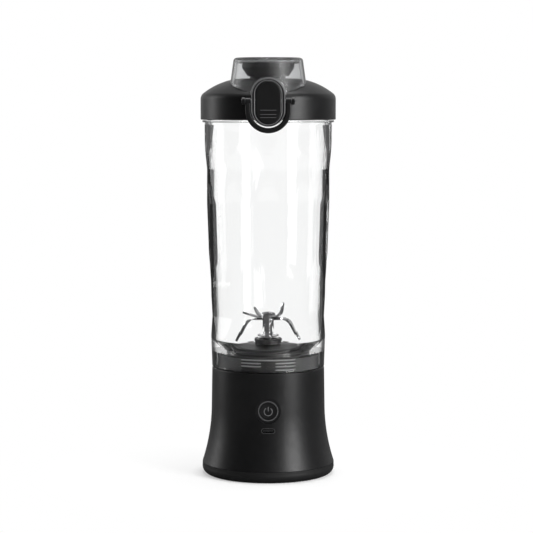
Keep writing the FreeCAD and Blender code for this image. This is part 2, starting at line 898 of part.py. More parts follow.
# ---------------------------------------------------------------- rotor and blades
def drive_shaft():
    low = motor_bottom - end_cap_height - end_bearing_height + 4 * fit_gap
    return rod(shaft_radius, low, blade_base + 3 * blade_thickness + 0.8 * nut_height)


def shaft_washer():
    low = boss_top + body_gap
    middle = low + collar_height
    disc = tube(washer_radius, shaft_radius, middle, middle + washer_thickness)
    return tube(collar_radius, shaft_radius, low, middle).fuse(disc)


def shaft_spacer():
    low = blade_base - spacer_height
    sleeve = tube(spacer_radius, shaft_radius, low, blade_base)
    foot = Part.makeCone(spacer_radius, collar_radius, spacer_foot, V(0, 0, low))
    return sleeve.fuse(foot.cut(rod(shaft_radius, low, low + spacer_foot)))


def blade_section(run, rise, tilt, half_width, thickness):
    """One cross-section of an arm that leads along +X: a plate with both long edges ground."""
    ground = 0.62 * half_width
    corners = (
        (-half_width, 0.0),
        (half_width, 0.0),
        (half_width, blade_land),
        (ground, thickness),
        (-ground, thickness),
        (-half_width, blade_land),
    )
    up = V(-math.sin(tilt), 0, math.cos(tilt))
    points = [V(run, y, rise) + up * h for y, h in corners]
    return Part.makePolygon(points + points[:1])


def blade_arm(flat, bend_radius, bend_degrees, straight, tip_half_width):
    """An arm: flat out of the hub, one bend (up is positive), then straight to its tip."""
    sign = 1 if bend_degrees > 0 else -1
    bend = math.radians(abs(bend_degrees))
    total = flat + bend_radius * bend + straight
    root = shaft_radius / 2
    stations = [(root, 0.0, 0.0, root), (flat, 0.0, 0.0, flat)]
    for share in (0.33, 0.67, 1.0):
        turn = bend * share
        run = flat + bend_radius * math.sin(turn)
        rise = sign * bend_radius * (1 - math.cos(turn))
        stations.append((run, rise, sign * turn, flat + bend_radius * turn))
    run, rise, tilt, reach = stations[-1]
    for share in (0.6, 1.0):
        step = straight * share
        end = (run + step * math.cos(bend), rise + sign * step * math.sin(bend), tilt, reach + step)
        stations.append(end)
    sections = []
    for run, rise, tilt, reach in stations:
        share = (reach / total) ** 1.6
        half_width = blade_root_width / 2 * (1 - share) + tip_half_width * share
        sections.append(blade_section(run, rise, tilt, half_width, blade_thickness))
    return Part.makeLoft(sections, True, True)


def blade(level, azimuth, first_arm, second_arm):
    """A two-armed blade on its hub disc, turned to its azimuth."""
    second_arm.rotate(V(0, 0, 0), Z_AXIS, 180)
    plate = fused(rod(blade_hub_radius, 0, blade_thickness), first_arm, second_arm)
    plate = plate.cut(rod(shaft_radius, -blade_thickness, 2 * blade_thickness))
    plate.rotate(V(0, 0, 0), Z_AXIS, azimuth)
    plate.translate(V(0, 0, level))
    return plate


def lower_blade():
    arm = blade_arm(lower_flat, lower_bend_radius, lower_bend, lower_straight, lower_tip)
    return blade(blade_base, lower_turn, arm, arm.copy())


def middle_blade():
    broad = blade_arm(broad_flat, broad_bend_radius, broad_bend, broad_straight, broad_tip)
    slender = blade_arm(broad_flat, broad_bend_radius, slender_bend, slender_straight, slender_tip)
    return blade(blade_base + blade_thickness, middle_turn, broad, slender)


def upper_blade():
    steep = blade_arm(steep_flat, steep_bend_radius, steep_bend, steep_straight, upper_tip)
    gentle = blade_arm(gentle_flat, gentle_bend_radius, gentle_bend, gentle_straight, upper_tip)
    return blade(blade_base + 2 * blade_thickness, upper_turn, steep, gentle)


def blade_nut():
    low = blade_base + 3 * blade_thickness
    radius = nut_flats / math.sqrt(3)
    corners = []
    for index in range(7):
        angle = math.radians(60 * index)
        corners.append(V(radius * math.cos(angle), radius * math.sin(angle), low))
    hexagon = Part.Face(Part.makePolygon(corners)).extrude(V(0, 0, nut_height))
    high = low + nut_height
    crown = 0.44 * nut_flats
    dome = turned((0, low), (radius, low), (radius, low + 0.6 * nut_height), (crown, high), (0, high))
    return hexagon.common(dome).cut(rod(shaft_radius, low, high))


# ---------------------------------------------------------------- cup
cup_span = cup_high_z - cup_low_z
facet_pitch = 360.0 / facets_per_row

# Facet rows: the turn of the first facet, then (share of the wall's height, depth under the wall)
# down the middle of a facet. A depth below zero lies outside the wall, where the facet has ended.
facet_rows = (
    (facet_pitch / 2, ((1.085, 1.4), (0.923, -0.2))),
    (0.0, ((0.992, -0.05), (0.862, 1.18), (0.646, -0.25))),
    (facet_pitch / 2, ((0.823, -0.5), (0.692, 1.38), (0.400, 1.4), (0.308, -0.18))),
    (0.0, ((0.47, -0.12), (0.308, 1.15), (0.231, 1.1), (0.131, 1.5), (0.015, -0.05))),
)


def wall_radius(share):
    """Radius of the cup's wall before the facets, at a share of its height: two cones and a band."""
    if share <= 0.5:
        return cup_low_radius + 2 * share * (cup_mid_radius - cup_low_radius)
    return cup_mid_radius + (2 * min(share, 1.0) - 1) * (cup_high_radius - cup_mid_radius)


def facet_cutter(points):
    """What one facet takes away: flat faces across the +X side, bent at each point."""
    wire = []
    for share, depth in points:
        wire.append(V(wall_radius(share) - depth, -lid_radius, cup_low_z + share * cup_span))
    high = wire[0].z
    low = wire[-1].z
    wire.append(V(far, -lid_radius, low))
    wire.append(V(far, -lid_radius, high))
    face = Part.Face(Part.makePolygon(wire + wire[:1]))
    return face.extrude(V(0, 2 * lid_radius, 0))


def cup_blank():
    middle_z = (cup_low_z + cup_high_z) / 2
    return turned(
        (0, cup_bottom),
        (collar_foot_radius - rim_round, cup_bottom),
        (collar_foot_radius, cup_bottom + rim_round),
        (cup_low_radius, cup_low_z),
        (cup_mid_radius, middle_z),
        (cup_high_radius, cup_high_z),
        (cup_high_radius, flange_bottom),
        (cup_flange_radius, flange_bottom),
        (cup_flange_radius, flange_top),
        (cup_neck_radius, flange_top),
        (cup_neck_radius, cup_rim - rim_round),
        (cup_neck_radius - rim_round, cup_rim),
        (0, cup_rim),
    )


def cup():
    blank = cup_blank()
    band = rod(far, cup_bottom, flange_bottom - facet_top_gap)
    for turn, points in facet_rows:
        for cutter in around(facet_cutter(points), facets_per_row, turn):
            blank = blank.cut(cutter.common(band))
    web_bottom = neck_top + base_seal_thickness + body_gap
    funnel_low = web_bottom + funnel_lip
    funnel_high = funnel_low + funnel_height
    room = turned(
        (0, web_bottom),
        (funnel_radius, web_bottom),
        (funnel_radius, funnel_low),
        (cup_inner_low - cup_inner_step, funnel_high),
        (cup_inner_low, funnel_high + funnel_blend),
        (cup_inner_high, flange_bottom),
        (cup_inner_high, cup_rim),
        (0, cup_rim),
    )
    socket = rod(collar_inner_radius, cup_bottom, web_bottom)
    return blank.cut(room).cut(socket)


# ---------------------------------------------------------------- lid
def lid_form(grow, low):
    """The lid's outer form, grown all round by a clearance."""
    side = lid_radius + grow
    edge = side - lid_shoulder_step
    edge_z = lid_shoulder + lid_shoulder_round + grow
    soft = lid_foot_round * (1 - math.sqrt(0.5))
    bulge = crown_radius + crown_fullness * (edge - crown_radius)
    return turned(
        (0, low),
        (side - lid_foot_round, low),
        ((side - soft, low + soft), (side, low + lid_foot_round)),
        (side, lid_shoulder),
        ((side - 0.23 * lid_shoulder_step, (lid_shoulder + edge_z) / 2), (edge, edge_z)),
        ((bulge, crown_z - crown_sag + grow), (crown_radius + grow, crown_z + grow)),
        (0, crown_z + grow),
    )


def latch_tower():
    """The upright housing of the release button, open at the front."""
    tower = front_stadium(tower_width, tower_bottom, tower_top, -tower_front, -tower_back)
    tower = tower.cut(rod(cup_flange_radius + tower_cup_gap, tower_bottom, lid_bottom))
    recess_width = release_width + 2 * release_gap
    low = release_bottom - release_gap
    high = release_top + release_gap
    tower = tower.cut(front_stadium(recess_width, low, high, -tower_front, -recess_floor))
    front = [edge for edge in tower.Edges if edge.BoundBox.YMax < -tower_front + 1e-3]
    tower = tower.makeChamfer(tower_edge, front)
    return tower.cut(catch(catch_slot)).cut(catch_window())


def catch(grow):
    """The cap's catch: a tongue of its front wall that drops into the top of the tower."""
    wall = cap_form(-grow, cap_top).cut(cap_form(cap_wall + grow, cap_top))
    half = catch_half_width + grow
    return wall.common(block(-half, half, -far, -arch_back, catch_low - grow, tower_top + catch_overlap))


def catch_window():
    """The opening from the recess to the catch, for the release button's hook."""
    half = hook_half_width + hook_play
    high = catch_low + hook_rise + hook_play
    low = high - hook_thickness - 2.4 * hook_play
    return block(-half, half, -tower_front, -catch_face(catch_low) + cap_wall, low, high)


def loop_ears():
    """The two ears outside the loop, on the skirt, that hold the ends of the cross pin."""
    ears = []
    inner = loop_outer + body_gap
    low_z = cross_pin_z - loop_ear_radius
    high_z = cross_pin_z + loop_ear_radius
    for side in SIDES:
        low = min(side * inner, side * (inner + loop_ear_width))
        high = low + loop_ear_width
        lug = cross_rod(loop_ear_radius, low, high, -cross_pin_y, cross_pin_z)
        root = block(low, high, -cross_pin_y, -tower_back, low_z, high_z)
        ears.append(lug.fuse(root))
    return ears


def hinge_ears():
    """The two ears behind the crown that hold the ends of the cap's hinge pin."""
    ears = []
    inner = knuckle_outer + body_gap
    for side in SIDES:
        low = min(side * inner, side * (inner + ear_width))
        high = low + ear_width
        lug = cross_rod(knuckle_radius, low, high, cap_hinge_y, cap_hinge_z)
        front = cap_hinge_y - 0.8 * knuckle_radius
        root = block(low, high, front, cap_hinge_y + knuckle_radius, crown_z - ear_root, cap_hinge_z)
        ears.append(lug.fuse(root))
    return ears


def lid_shell():
    """Skirt, crown, latch tower and ears in one moulding."""
    hollow_low = lid_bottom - body_gap
    ledge = cup_neck_radius - lid_seal_width
    flat = crown_radius - 0.8 * lid_skin
    bulge = flat + crown_fullness * (ledge - flat)
    hollow = turned(
        (0, hollow_low),
        (lid_inner_radius, hollow_low),
        (lid_inner_radius, lid_ceiling),
        (ledge, lid_ceiling),
        ((bulge, crown_z - lid_skin - 0.7 * crown_sag), (flat, crown_z - lid_skin)),
        (0, crown_z - lid_skin),
    )
    shell = fused(lid_form(0, lid_bottom), latch_tower(), *(loop_ears() + hinge_ears()))
    shell = shell.cut(hollow)
    cuts = [rod(spout_mouth_radius + fit_gap, lid_ceiling, cap_top)]
    cuts.append(cross_rod(hinge_pin_radius, -lid_radius, lid_radius, cap_hinge_y, cap_hinge_z))
    cuts.append(cross_rod(cross_pin_radius, -lid_radius, lid_radius, -cross_pin_y, cross_pin_z))
    for cut in cuts:
        shell = shell.cut(cut)
    return shell.removeSplitter()


def lid_seal():
    inner = cup_neck_radius - lid_seal_width + lid_seal_play
    outer = lid_inner_radius - body_gap
    return tube(outer, inner, seal_bottom, lid_ceiling)


def spout():
    low = crown_z - lid_skin - spout_flange
    return turned(
        (spout_bore, low),
        (spout_mouth_radius, low),
        (spout_mouth_radius, crown_z),
        (spout_radius, crown_z),
        (spout_mouth_radius, spout_top - spout_lip),
        (((spout_mouth_radius + spout_bore) / 2, spout_top), (spout_bore, spout_top - spout_lip)),
    )


# ---------------------------------------------------------------- flip cap
arch_back = cap_front_centre + 0.55 * cap_top_radius


def cap_radius(z):
    """Radius of the cap's rounds at a height."""
    return cap_top_radius + cap_taper * (cap_top - z)


def catch_face(z):
    """How far in front of the axis the cap's outer face stands at a height."""
    return cap_front_centre + cap_radius(z)


def cap_form(inset, top):
    """The cap's outer form taken in by inset: a tapered stadium, reaching forward over the lid."""
    low = lid_shoulder + lid_shoulder_step
    high_radius = cap_radius(top) - inset
    low_radius = cap_radius(low) - inset
    wires = []
    for radius, level in ((low_radius, low), (high_radius, top)):
        wires.append(stadium_wire(radius, -cap_front_centre - radius, radius, level, "y"))
    return Part.makeLoft(wires, True, True)


def arch(grow, y_front, y_back):
    """The opening in the cap's front that straddles the latch tower."""
    width = tower_width + 2 * grow
    return front_stadium(width, tower_bottom - grow, tower_top + grow, y_front, y_back)


def flip_cap():
    outer = cap_form(0, cap_top)
    outer = rounded(outer, cap_edge_round, lambda e: e.BoundBox.ZMin > cap_top - 1e-3)
    lid_room = lid_form(cap_gap, cup_bottom)
    inner = cap_form(cap_wall, cap_top - cap_wall)
    opening = arch(cap_gap, -far, -arch_back)
    cap = outer.cut(inner).cut(lid_room)
    bead = arch(cap_bead, -far, -arch_back).common(cap_form(-cap_bead_rise, cap_top).cut(inner))
    cap = cap.fuse(bead.cut(lid_room)).cut(opening).fuse(catch(0))
    arm_low = cap_hinge_z - cap_arm_low
    arm_high = cap_hinge_z + cap_arm_high
    for side in SIDES:
        low = min(side * knuckle_inner, side * knuckle_outer)
        high = low + knuckle_outer - knuckle_inner
        arm = block(low, high, cap_hinge_y - cap_arm_length, cap_hinge_y, arm_low, arm_high)
        knuckle = cross_rod(knuckle_radius, low, high, cap_hinge_y, cap_hinge_z)
        cap = cap.fuse(arm).fuse(knuckle)
    pin_room = cross_rod(hinge_pin_radius + running_gap, -lid_radius, lid_radius, cap_hinge_y, cap_hinge_z)
    return cap.cut(pin_room).removeSplitter()


def cap_seal():
    """The soft plug under the cap: a disc over the mouth, a nose in it and a flared skirt."""
    disc_low = spout_top + plug_press
    disc_high = cap_top - cap_wall
    skirt_low = crown_z + plug_nose
    skirt_inner = spout_radius + cap_gap
    nose = spout_bore - 2 * body_gap
    return turned(
        (0, disc_low - plug_nose),
        (nose - body_gap, disc_low - plug_nose),
        (nose, disc_low),
        ((skirt_inner + plug_radius) / 2 - cap_gap, disc_low),
        (skirt_inner, skirt_low),
        (skirt_inner + plug_skirt, skirt_low),
        (plug_radius, disc_low - 2 * plug_press),
        (plug_radius, disc_high),
        (0, disc_high),
    )


def cap_hinge_pin():
    reach = knuckle_outer + body_gap + ear_width
    return cross_rod(hinge_pin_radius, -reach, reach, cap_hinge_y, cap_hinge_z)


def coil(turns, pitch, radius, wire_radius):
    """A coil spring round the Z axis, standing on z = wire radius."""
    helix = Part.makeHelix(pitch, pitch * turns, radius)
    section = Part.Wire([Part.makeCircle(wire_radius, V(radius, 0, 0), Y_AXIS)])
    return helix.makePipeShell([section], True, True)


def cap_spring():
    """The torsion spring between the cap's knuckles, wound round the hinge pin."""
    radius = hinge_pin_radius + running_gap + 2 * spring_play + cap_spring_wire
    spring = coil(spring_turns, spring_pitch, radius, cap_spring_wire)
    spring.rotate(V(0, 0, 0), Y_AXIS, 90)
    spring.translate(V(-spring_turns * spring_pitch / 2, cap_hinge_y, cap_hinge_z))
    return spring


# ---------------------------------------------------------------- release button
def release_button():
    """The rocking plate in the tower: grip ribs low down, a hook for the cap's catch high up."""
    plate = front_stadium(release_width, release_bottom, release_top, -release_front, release_back)
    plate = rounded(plate, release_round, lambda e: e.BoundBox.YMax < -release_front + 1e-3)
    rib_front = -release_front - rib_height
    for rise in rib_rises:
        low = release_bottom + rise - rib_half_width
        high = low + 2 * rib_half_width
        plate = plate.fuse(block(-rib_half_length, rib_half_length, rib_front, release_back, low, high))
    pin_room = cross_rod(cross_pin_radius + body_gap, -lid_radius, lid_radius, -cross_pin_y, cross_pin_z)
    spring_room = cross_rod(spring_outer + body_gap, -lug_inner, lug_inner, -cross_pin_y, cross_pin_z)
    plate = plate.cut(pin_room).cut(spring_room)
    for side in SIDES:
        low = min(side * lug_inner, side * lug_outer)
        plate = plate.fuse(cross_rod(lug_radius, low, low + lug_outer - lug_inner, -cross_pin_y, cross_pin_z))
    hook_high = catch_low + hook_rise
    hook_back = -catch_face(hook_high) - body_gap
    hook = block(
        -hook_half_width, hook_half_width, release_back - release_thickness / 4, hook_back,
        hook_high - hook_thickness, hook_high,
    )
    pin_bore = cross_rod(cross_pin_radius + running_gap, -lid_radius, lid_radius, -cross_pin_y, cross_pin_z)
    return plate.fuse(hook).cut(pin_bore).removeSplitter()


def cross_pin():
    return cross_rod(cross_pin_radius, -cross_pin_reach, cross_pin_reach, -cross_pin_y, cross_pin_z)


def button_spring():
    """The torsion spring between the button's lugs, wound round the cross pin."""
    spring = coil(spring_turns, spring_pitch, spring_radius, button_spring_wire)
    spring.rotate(V(0, 0, 0), Y_AXIS, 90)
    spring.translate(V(-spring_turns * spring_pitch / 2, -cross_pin_y, cross_pin_z))
    return spring


# ---------------------------------------------------------------- lock loop
def lock_loop():
    """A U-shaped bail that hangs round the tower and swings up over it."""
    centre_z = tower_bottom - loop_gap_below + loop_inner
    over = cross_pin_z + 2 * loop_outer
    front = -cross_pin_y - loop_depth / 2
    back = front + loop_depth
    ring = front_stadium(2 * loop_outer, centre_z - loop_outer, over, front, back)
    ring = ring.cut(front_stadium(2 * loop_inner, centre_z - loop_inner, over, front, back))
    ring = ring.common(block(-loop_outer, loop_outer, front, back, cup_bottom, cross_pin_z))
    ring = rounded(ring, loop_round, lambda e: soft_edge(e, front, back))
    for side in SIDES:
        low = min(side * loop_inner, side * loop_outer)
        ring = ring.fuse(cross_rod(loop_knuckle, low, low + loop_band, -cross_pin_y, cross_pin_z))
    hole = cross_rod(cross_pin_radius + running_gap, -lid_radius, lid_radius, -cross_pin_y, cross_pin_z)
    return ring.cut(hole).removeSplitter()


def soft_edge(edge, front, back):
    """True for the loop's long edges, on its front and back faces."""
    box = edge.BoundBox
    on_front = abs(box.YMin - front) < 1e-3 and abs(box.YMax - front) < 1e-3
    on_back = abs(box.YMin - back) < 1e-3 and abs(box.YMax - back) < 1e-3
    return (on_front or on_back) and box.ZMax - box.ZMin > 1e-3


# ---------------------------------------------------------------- every piece, one STEP each
pieces = (
    base_housing, rubber_foot, bottom_cover, cover_screws, blade_deck, deck_screws,
    shaft_bearing, shaft_seal, motor_can, motor_screws, motor_magnets, motor_end_cap,
    battery_cells, battery_cradle, cell_pads, control_board, board_screws, tact_switch,
    usb_c_port, usb_c_tongue, light_ring, power_button,
    drive_shaft, armature, armature_windings, commutator, shaft_washer, shaft_spacer,
    lower_blade, middle_blade, upper_blade, blade_nut,
    base_seal, cup, lid_seal, lid_shell, spout, cap_hinge_pin, cap_spring,
    cross_pin, button_spring, flip_cap, cap_seal, release_button, lock_loop,
)

os.makedirs("parts", exist_ok=True)
for piece in pieces:
    shape = piece()
    name = piece.__name__
    shape.exportStep(os.path.join("parts", name + ".step"))
    solids = len(shape.Solids)
    print(f"{name:18s} solids {solids}  valid {shape.isValid()}  volume {shape.Volume / 1000:9.3f} cm3")
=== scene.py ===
"""Looks of the portable blender bottle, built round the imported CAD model.

Everything is in metres in the model's frame: +Z up, the front faces -Y, and the origin is the
middle of the foot. MM turns millimetres into metres.
"""

import json
import math

import bmesh
import bpy
from mathutils import Matrix, Vector

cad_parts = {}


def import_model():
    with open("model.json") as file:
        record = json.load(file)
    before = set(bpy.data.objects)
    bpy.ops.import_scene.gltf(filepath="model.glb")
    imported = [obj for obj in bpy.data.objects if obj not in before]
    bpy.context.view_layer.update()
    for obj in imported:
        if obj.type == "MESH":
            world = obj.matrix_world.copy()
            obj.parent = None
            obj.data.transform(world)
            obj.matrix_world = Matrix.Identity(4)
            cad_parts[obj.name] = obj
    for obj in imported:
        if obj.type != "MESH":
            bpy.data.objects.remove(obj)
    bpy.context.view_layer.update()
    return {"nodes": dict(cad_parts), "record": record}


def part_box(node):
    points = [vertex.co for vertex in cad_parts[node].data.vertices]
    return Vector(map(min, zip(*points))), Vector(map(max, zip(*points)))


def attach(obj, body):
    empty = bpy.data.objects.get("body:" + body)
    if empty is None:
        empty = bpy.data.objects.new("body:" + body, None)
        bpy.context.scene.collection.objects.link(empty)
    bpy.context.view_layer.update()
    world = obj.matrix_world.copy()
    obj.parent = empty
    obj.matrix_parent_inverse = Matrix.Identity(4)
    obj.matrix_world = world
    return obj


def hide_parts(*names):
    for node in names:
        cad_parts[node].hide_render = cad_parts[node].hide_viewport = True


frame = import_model()

MM = 0.001

# ------------------------------------------------------------ corners read from the frame
_, neck_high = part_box("base_housing")
button_low, button_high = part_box("power_button")
cup_low, cup_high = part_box("cup")
release_low, release_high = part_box("release_button")
cap_low, cap_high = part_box("flip_cap")

# ------------------------------------------------------------ housing
POST_X = 8.0 * MM              # axes of the board's posts, left and right of the middle
POST_LEVELS = (27.0 * MM, 58.0 * MM)
POSTS = [Vector((side * POST_X, level)) for side in (-1, 1) for level in POST_LEVELS]
POST_REACH = 2.6 * MM          # how far from a post's axis the wall over it is made even
POST_PROUD = 0.35 * MM         # the most that a point there may lie off the wall
WALL_STEP = 1.0 * MM           # up and down, for the wall's slope
NECK_HEIGHT = 9.3 * MM
NECK_RADIUS = 33.2 * MM
NECK_MARGIN = 0.2 * MM         # what counts as the neck starts this far up, and inside its radius

# ------------------------------------------------------------ ridges on the neck
LUG_HEIGHT = 0.7 * MM          # out from the neck
LUG_WIDTH = 0.95 * MM          # up and down
LUG_SPAN = math.radians(63)
LUG_NOTCH = math.radians(16)
LUG_ROWS = (                   # how far below the neck's top, and which parts the row has
    (1.1 * MM, "whole"), (3.2 * MM, "parted"), (5.2 * MM, "parted"), (7.45 * MM, "right"),
)

# ------------------------------------------------------------ lower blade
BLADE_TURN = math.radians(11)  # its arms from the X axis
PITCH = math.radians(30)
PITCH_START = 7.0 * MM         # out from the shaft, where the pitch starts and where it is full
PITCH_FULL = 15.0 * MM
PITCH_LAST = 19.0 * MM         # the arm's slope is measured no further out than this
PITCH_STEP = 0.5 * MM          # to either side, for the arm's slope
PROBE_RISE = 1.0 * MM          # a probe of the arm's top starts this far above the blade

# ------------------------------------------------------------ threads
THREAD_STEP = math.radians(3)
THREAD_FADE = 0.06             # share of the run over which either end rises
THREAD_LEAST = 0.02 * MM       # height of the crest at the very ends
THREAD_SINK = 0.05 * MM        # depth of the foot in the wall
THREAD_FOOT = 0.5              # foot and crest across, as shares of the width from the middle
THREAD_CREST = 0.28
THREAD_CROWN = 1.04            # height of the crest's middle over that of its edges
CUP_NECK_RADIUS = 39.4 * MM
CUP_THREAD_HEIGHT = 0.75 * MM
CUP_THREAD_WIDTH = 2.0 * MM
CUP_THREAD_DROP = 11.0 * MM    # where it starts, below the cup's top
CUP_THREAD_STARTS = (math.radians(20), math.radians(200))
CUP_THREAD_SWEEP = math.radians(300)
CUP_THREAD_LEAD = 8.0 * MM

# ------------------------------------------------------------ latch and cap
TOWER_WIDTH = 21.1 * MM
TOWER_TOP = 258.6 * MM
TOWER_BEVEL = 0.45 * MM
RELEASE_GAP = 0.4 * MM         # release button to its recess
RECESS_END = 1.75 * MM         # button's foot up from the tower's foot
RELEASE_OUT = 0.95 * MM        # front of the button's ribs back to the tower's front
RIB_RISES = (8.2 * MM, 5.5 * MM, 3.6 * MM)
RIB_HALF_LENGTH = 5.3 * MM
RIB_HALF_WIDTH = 0.35 * MM
RIB_COVER = 0.94               # share of a rib's length that its bead covers
CAP_GAP = 0.35 * MM            # cap's arch to the tower
CAP_TOP_RADIUS = 22.1 * MM
CAP_TAPER = 0.138              # growth of the cap's radius with the depth below its top
CAP_BEAD_RISE = 0.5 * MM
ARCH_FOOT = 249.0 * MM
SHADE_INSET = 1.85 * MM        # dark bead, painted shade inside the cap top's rounded edge
SHADE_DROP = 0.55 * MM
SHADE_RADIUS = 0.42 * MM
FILLET_INSET = 2.6 * MM        # lighter bead under the cap's top, a painted highlight band
FILLET_DROP = 2.6 * MM
FILLET_RADIUS = 0.8 * MM
FLANGE_BOTTOM = 230.6 * MM     # of the flange round the cup's top

# ------------------------------------------------------------ beads
EDGE_BEAD = 0.17 * MM          # radius of the beads that paint lines of light along edges
BEAD_SIDES = 8
BEAD_PARALLEL = 0.1            # sine of the angle to Y below which a bead runs along Y
ARC_STEPS = 24
CAP_STEPS = 60
RING_STEPS = 180
WELD = 1e-7

# ------------------------------------------------------------ standby mark
SYMBOL_RADIUS = 2.6 * MM       # an open ring with a bar in the gap
SYMBOL_WIDTH = 0.42 * MM
SYMBOL_HEIGHT = 0.05 * MM
SYMBOL_GAP = math.radians(68)
SYMBOL_DROP = 0.4 * MM         # below the button's axis
SYMBOL_STEPS = 48
SYMBOL_BAR = (0.2 * MM, 1.2 * MM, 2.2 * MM, 3.2 * MM)
SYMBOL_SHOULDER = 0.6          # height of the strip's edges, as a share of its middle's
SYMBOL_FLAT = 0.7              # width of the strip's flat, as a share of its whole width
BUTTON_DISH = 0.35 * MM
BUTTON_DISH_RADIUS = 40.0 * MM

# ------------------------------------------------------------ noises in the finishes
NOISE_RANGE = (0.3, 0.7)       # the part of a noise's range that a ramp spreads out
PATCH_SCALE = 60.0             # features for each metre; so are the other scales
PATCH_DETAIL = 3.0
GLOSS_SCALE = 4.5              # features of the gloss for each patch of tone
GLOSS_DETAIL = 4.0
GLOSS_ROUGHNESS = 0.6
GRAIN_DETAIL = 2.0
FLOW_SCALE = 35.0
FLOW_DETAIL = 2.0
HAZE_SCALE = 180.0
EVEN = (1, 1, 1)               # how many times denser a noise is along X, Y and Z
DRAWN_UP = (1, 1, 0.35)        # the cup's flow tones
TURNED = (1, 1, 14)
LAYERED = (1, 1, 25)
WOUND = (1, 1, 8)
GROUND_ALONG = (1, 9, 9)       # the blades

# ------------------------------------------------------------ clear plastic
CLEAR_IOR = 1.10
CUP_TURN = (0.50, 0.72)        # one minus the cosine to the face, where the painted shade starts and where it is full
CAP_TURN = (0.58, 0.76)        # and where it is full
COLLAR_TOP = 11.5 * MM         # the cup's foot is frosted up to here
COLLAR_FROST = 0.07
FROST_FADE = 1.0 * MM
FROST_SHADE_LEAD = 0.10              # how much sooner the frosted part turns to the painted edge shade

# ------------------------------------------------------------ stage
FLOOR_HALF = 6.0
FLOOR_SCALE = 6.0              # of the floor's patches
FLOOR_TONES = ((0.90, 0.90, 0.90), (0.93, 0.93, 0.93))
FLOOR_MIRRORED = (0.16, 0.16, 0.16)           # in reflections
FLOOR_MIRRORED_CLEAR = (0.12, 0.12, 0.12)     # in reflections inside the clear plastics
# both floor shades are partly painted: the white share fades by the distance from the middle
SOFT_SHADE = (0.045, 0.16, 0.72, 1.0)         # from and to, out from the middle; white there
CONTACT_SHADE = (0.043, 0.053, 0.50, 1.0)
WORLD_CLEAR = (0.25, 0.75, 1.03, 0.30)        # from and to in steepness; strengths there
WORLD_AROUND = (-0.20, 0.85, 0.015, 0.62)     # from the front to the back
WORLD_ABOVE = (0.45, 0.95, 0.0, 0.45)         # from the sides to the top
WORLD_DIFFUSE = 0.5
LAMPS = (                      # name, place, target, width, height and watts
    ("key", (0.80, -0.70, 0.42), (0, 0, 0.13), 0.42, 0.9, 13.5),
    ("rim_left", (-0.95, 0.30, 0.30), (0, 0, 0.13), 0.3, 0.9, 3.2),
    ("top", (0.05, 0.10, 1.15), (0, 0, 0.2), 0.5, 0.5, 7.0),
)
CAMERA_PLACE = Vector((-1.1, -1273.6, 247.6)) * MM
CAMERA_TILT = math.radians(85)
CAMERA_LENS = 131.7            # in millimetres, as Blender takes them
CAMERA_SENSOR = 36.0


# ================================================================ node helpers
def cleared(owner, output_kind):
    """The emptied node tree of a material or world, and its new output node."""
    owner.use_nodes = True
    tree = owner.node_tree
    tree.nodes.clear()
    return tree, tree.nodes.new(output_kind)


def new_material(name):
    """A material with a principled shader."""
    material = bpy.data.materials.new(name)
    tree, output = cleared(material, "ShaderNodeOutputMaterial")
    shader = tree.nodes.new("ShaderNodeBsdfPrincipled")
    tree.links.new(shader.outputs["BSDF"], output.inputs["Surface"])
    return material, tree, shader


def noise(tree, scale, detail=PATCH_DETAIL, roughness=0.5, stretch=EVEN):
    """A noise in the object's own coordinates; scale counts features for each metre."""
    coordinates = tree.nodes.new("ShaderNodeTexCoord")
    mapping = tree.nodes.new("ShaderNodeMapping")
    mapping.inputs["Scale"].default_value = stretch
    texture = tree.nodes.new("ShaderNodeTexNoise")
    texture.inputs["Scale"].default_value = scale
    texture.inputs["Detail"].default_value = detail
    texture.inputs["Roughness"].default_value = roughness
    tree.links.new(coordinates.outputs["Object"], mapping.inputs["Vector"])
    tree.links.new(mapping.outputs["Vector"], texture.inputs["Vector"])
    return texture.outputs["Fac"]


def scaled(tree, value, from_low, from_high, low, high, curve="LINEAR"):
    """Maps from_low..from_high of a value to low..high and holds it there outside."""
    node = tree.nodes.new("ShaderNodeMapRange")
    node.interpolation_type = curve
    node.inputs["From Min"].default_value = from_low
    node.inputs["From Max"].default_value = from_high
    node.inputs["To Min"].default_value = low
    node.inputs["To Max"].default_value = high
    tree.links.new(value, node.inputs["Value"])
    return node.outputs["Result"]


def smooth(tree, value, settings):
    """The same with soft ends; settings holds the four numbers."""
    return scaled(tree, value, *settings, "SMOOTHSTEP")


def ramp(tree, value, low, high):
    """Maps the middle of a noise's range to low..high."""
    return scaled(tree, value, *NOISE_RANGE, low, high)


def fill(tree, socket, value):
    """Links a node's output to a socket, or sets a plain number or colour on it."""
    if isinstance(value, (float, tuple)):
        socket.default_value = value
    else:
        tree.links.new(value, socket)


def math_node(tree, operation, first, second=0.0):
    node = tree.nodes.new("ShaderNodeMath")
    node.operation = operation
    fill(tree, node.inputs[0], first)
    fill(tree, node.inputs[1], second)
    return node.outputs["Value"]


def pick(tree, factor, low, high):
    """A number between low and high."""
    node = tree.nodes.new("ShaderNodeMix")
    node.data_type = "FLOAT"
    fill(tree, node.inputs["Factor"], factor)
    fill(tree, node.inputs["A"], low)
    fill(tree, node.inputs["B"], high)
    return node.outputs["Result"]


def blend_colors(tree, factor, first, second):
    """A colour between first and second, each a colour or a node's output."""
    node = tree.nodes.new("ShaderNodeMix")
    node.data_type = "RGBA"
    fill(tree, node.inputs["Factor"], factor)
    for socket, value in (("A", first), ("B", second)):
        fill(tree, node.inputs[socket], (*value, 1.0) if isinstance(value, tuple) else value)
    return node.outputs["Result"]


def bump(tree, shader, height, distance):
    node = tree.nodes.new("ShaderNodeBump")
    node.inputs["Distance"].default_value = distance
    tree.links.new(height, node.inputs["Height"])
    tree.links.new(node.outputs["Normal"], shader.inputs["Normal"])


def set_sockets(shader, sockets):
    """Sets constants on a shader; a keyword's underscores stand for spaces."""
    for socket, value in sockets.items():
        shader.inputs[socket.replace("_", " ")].default_value = value


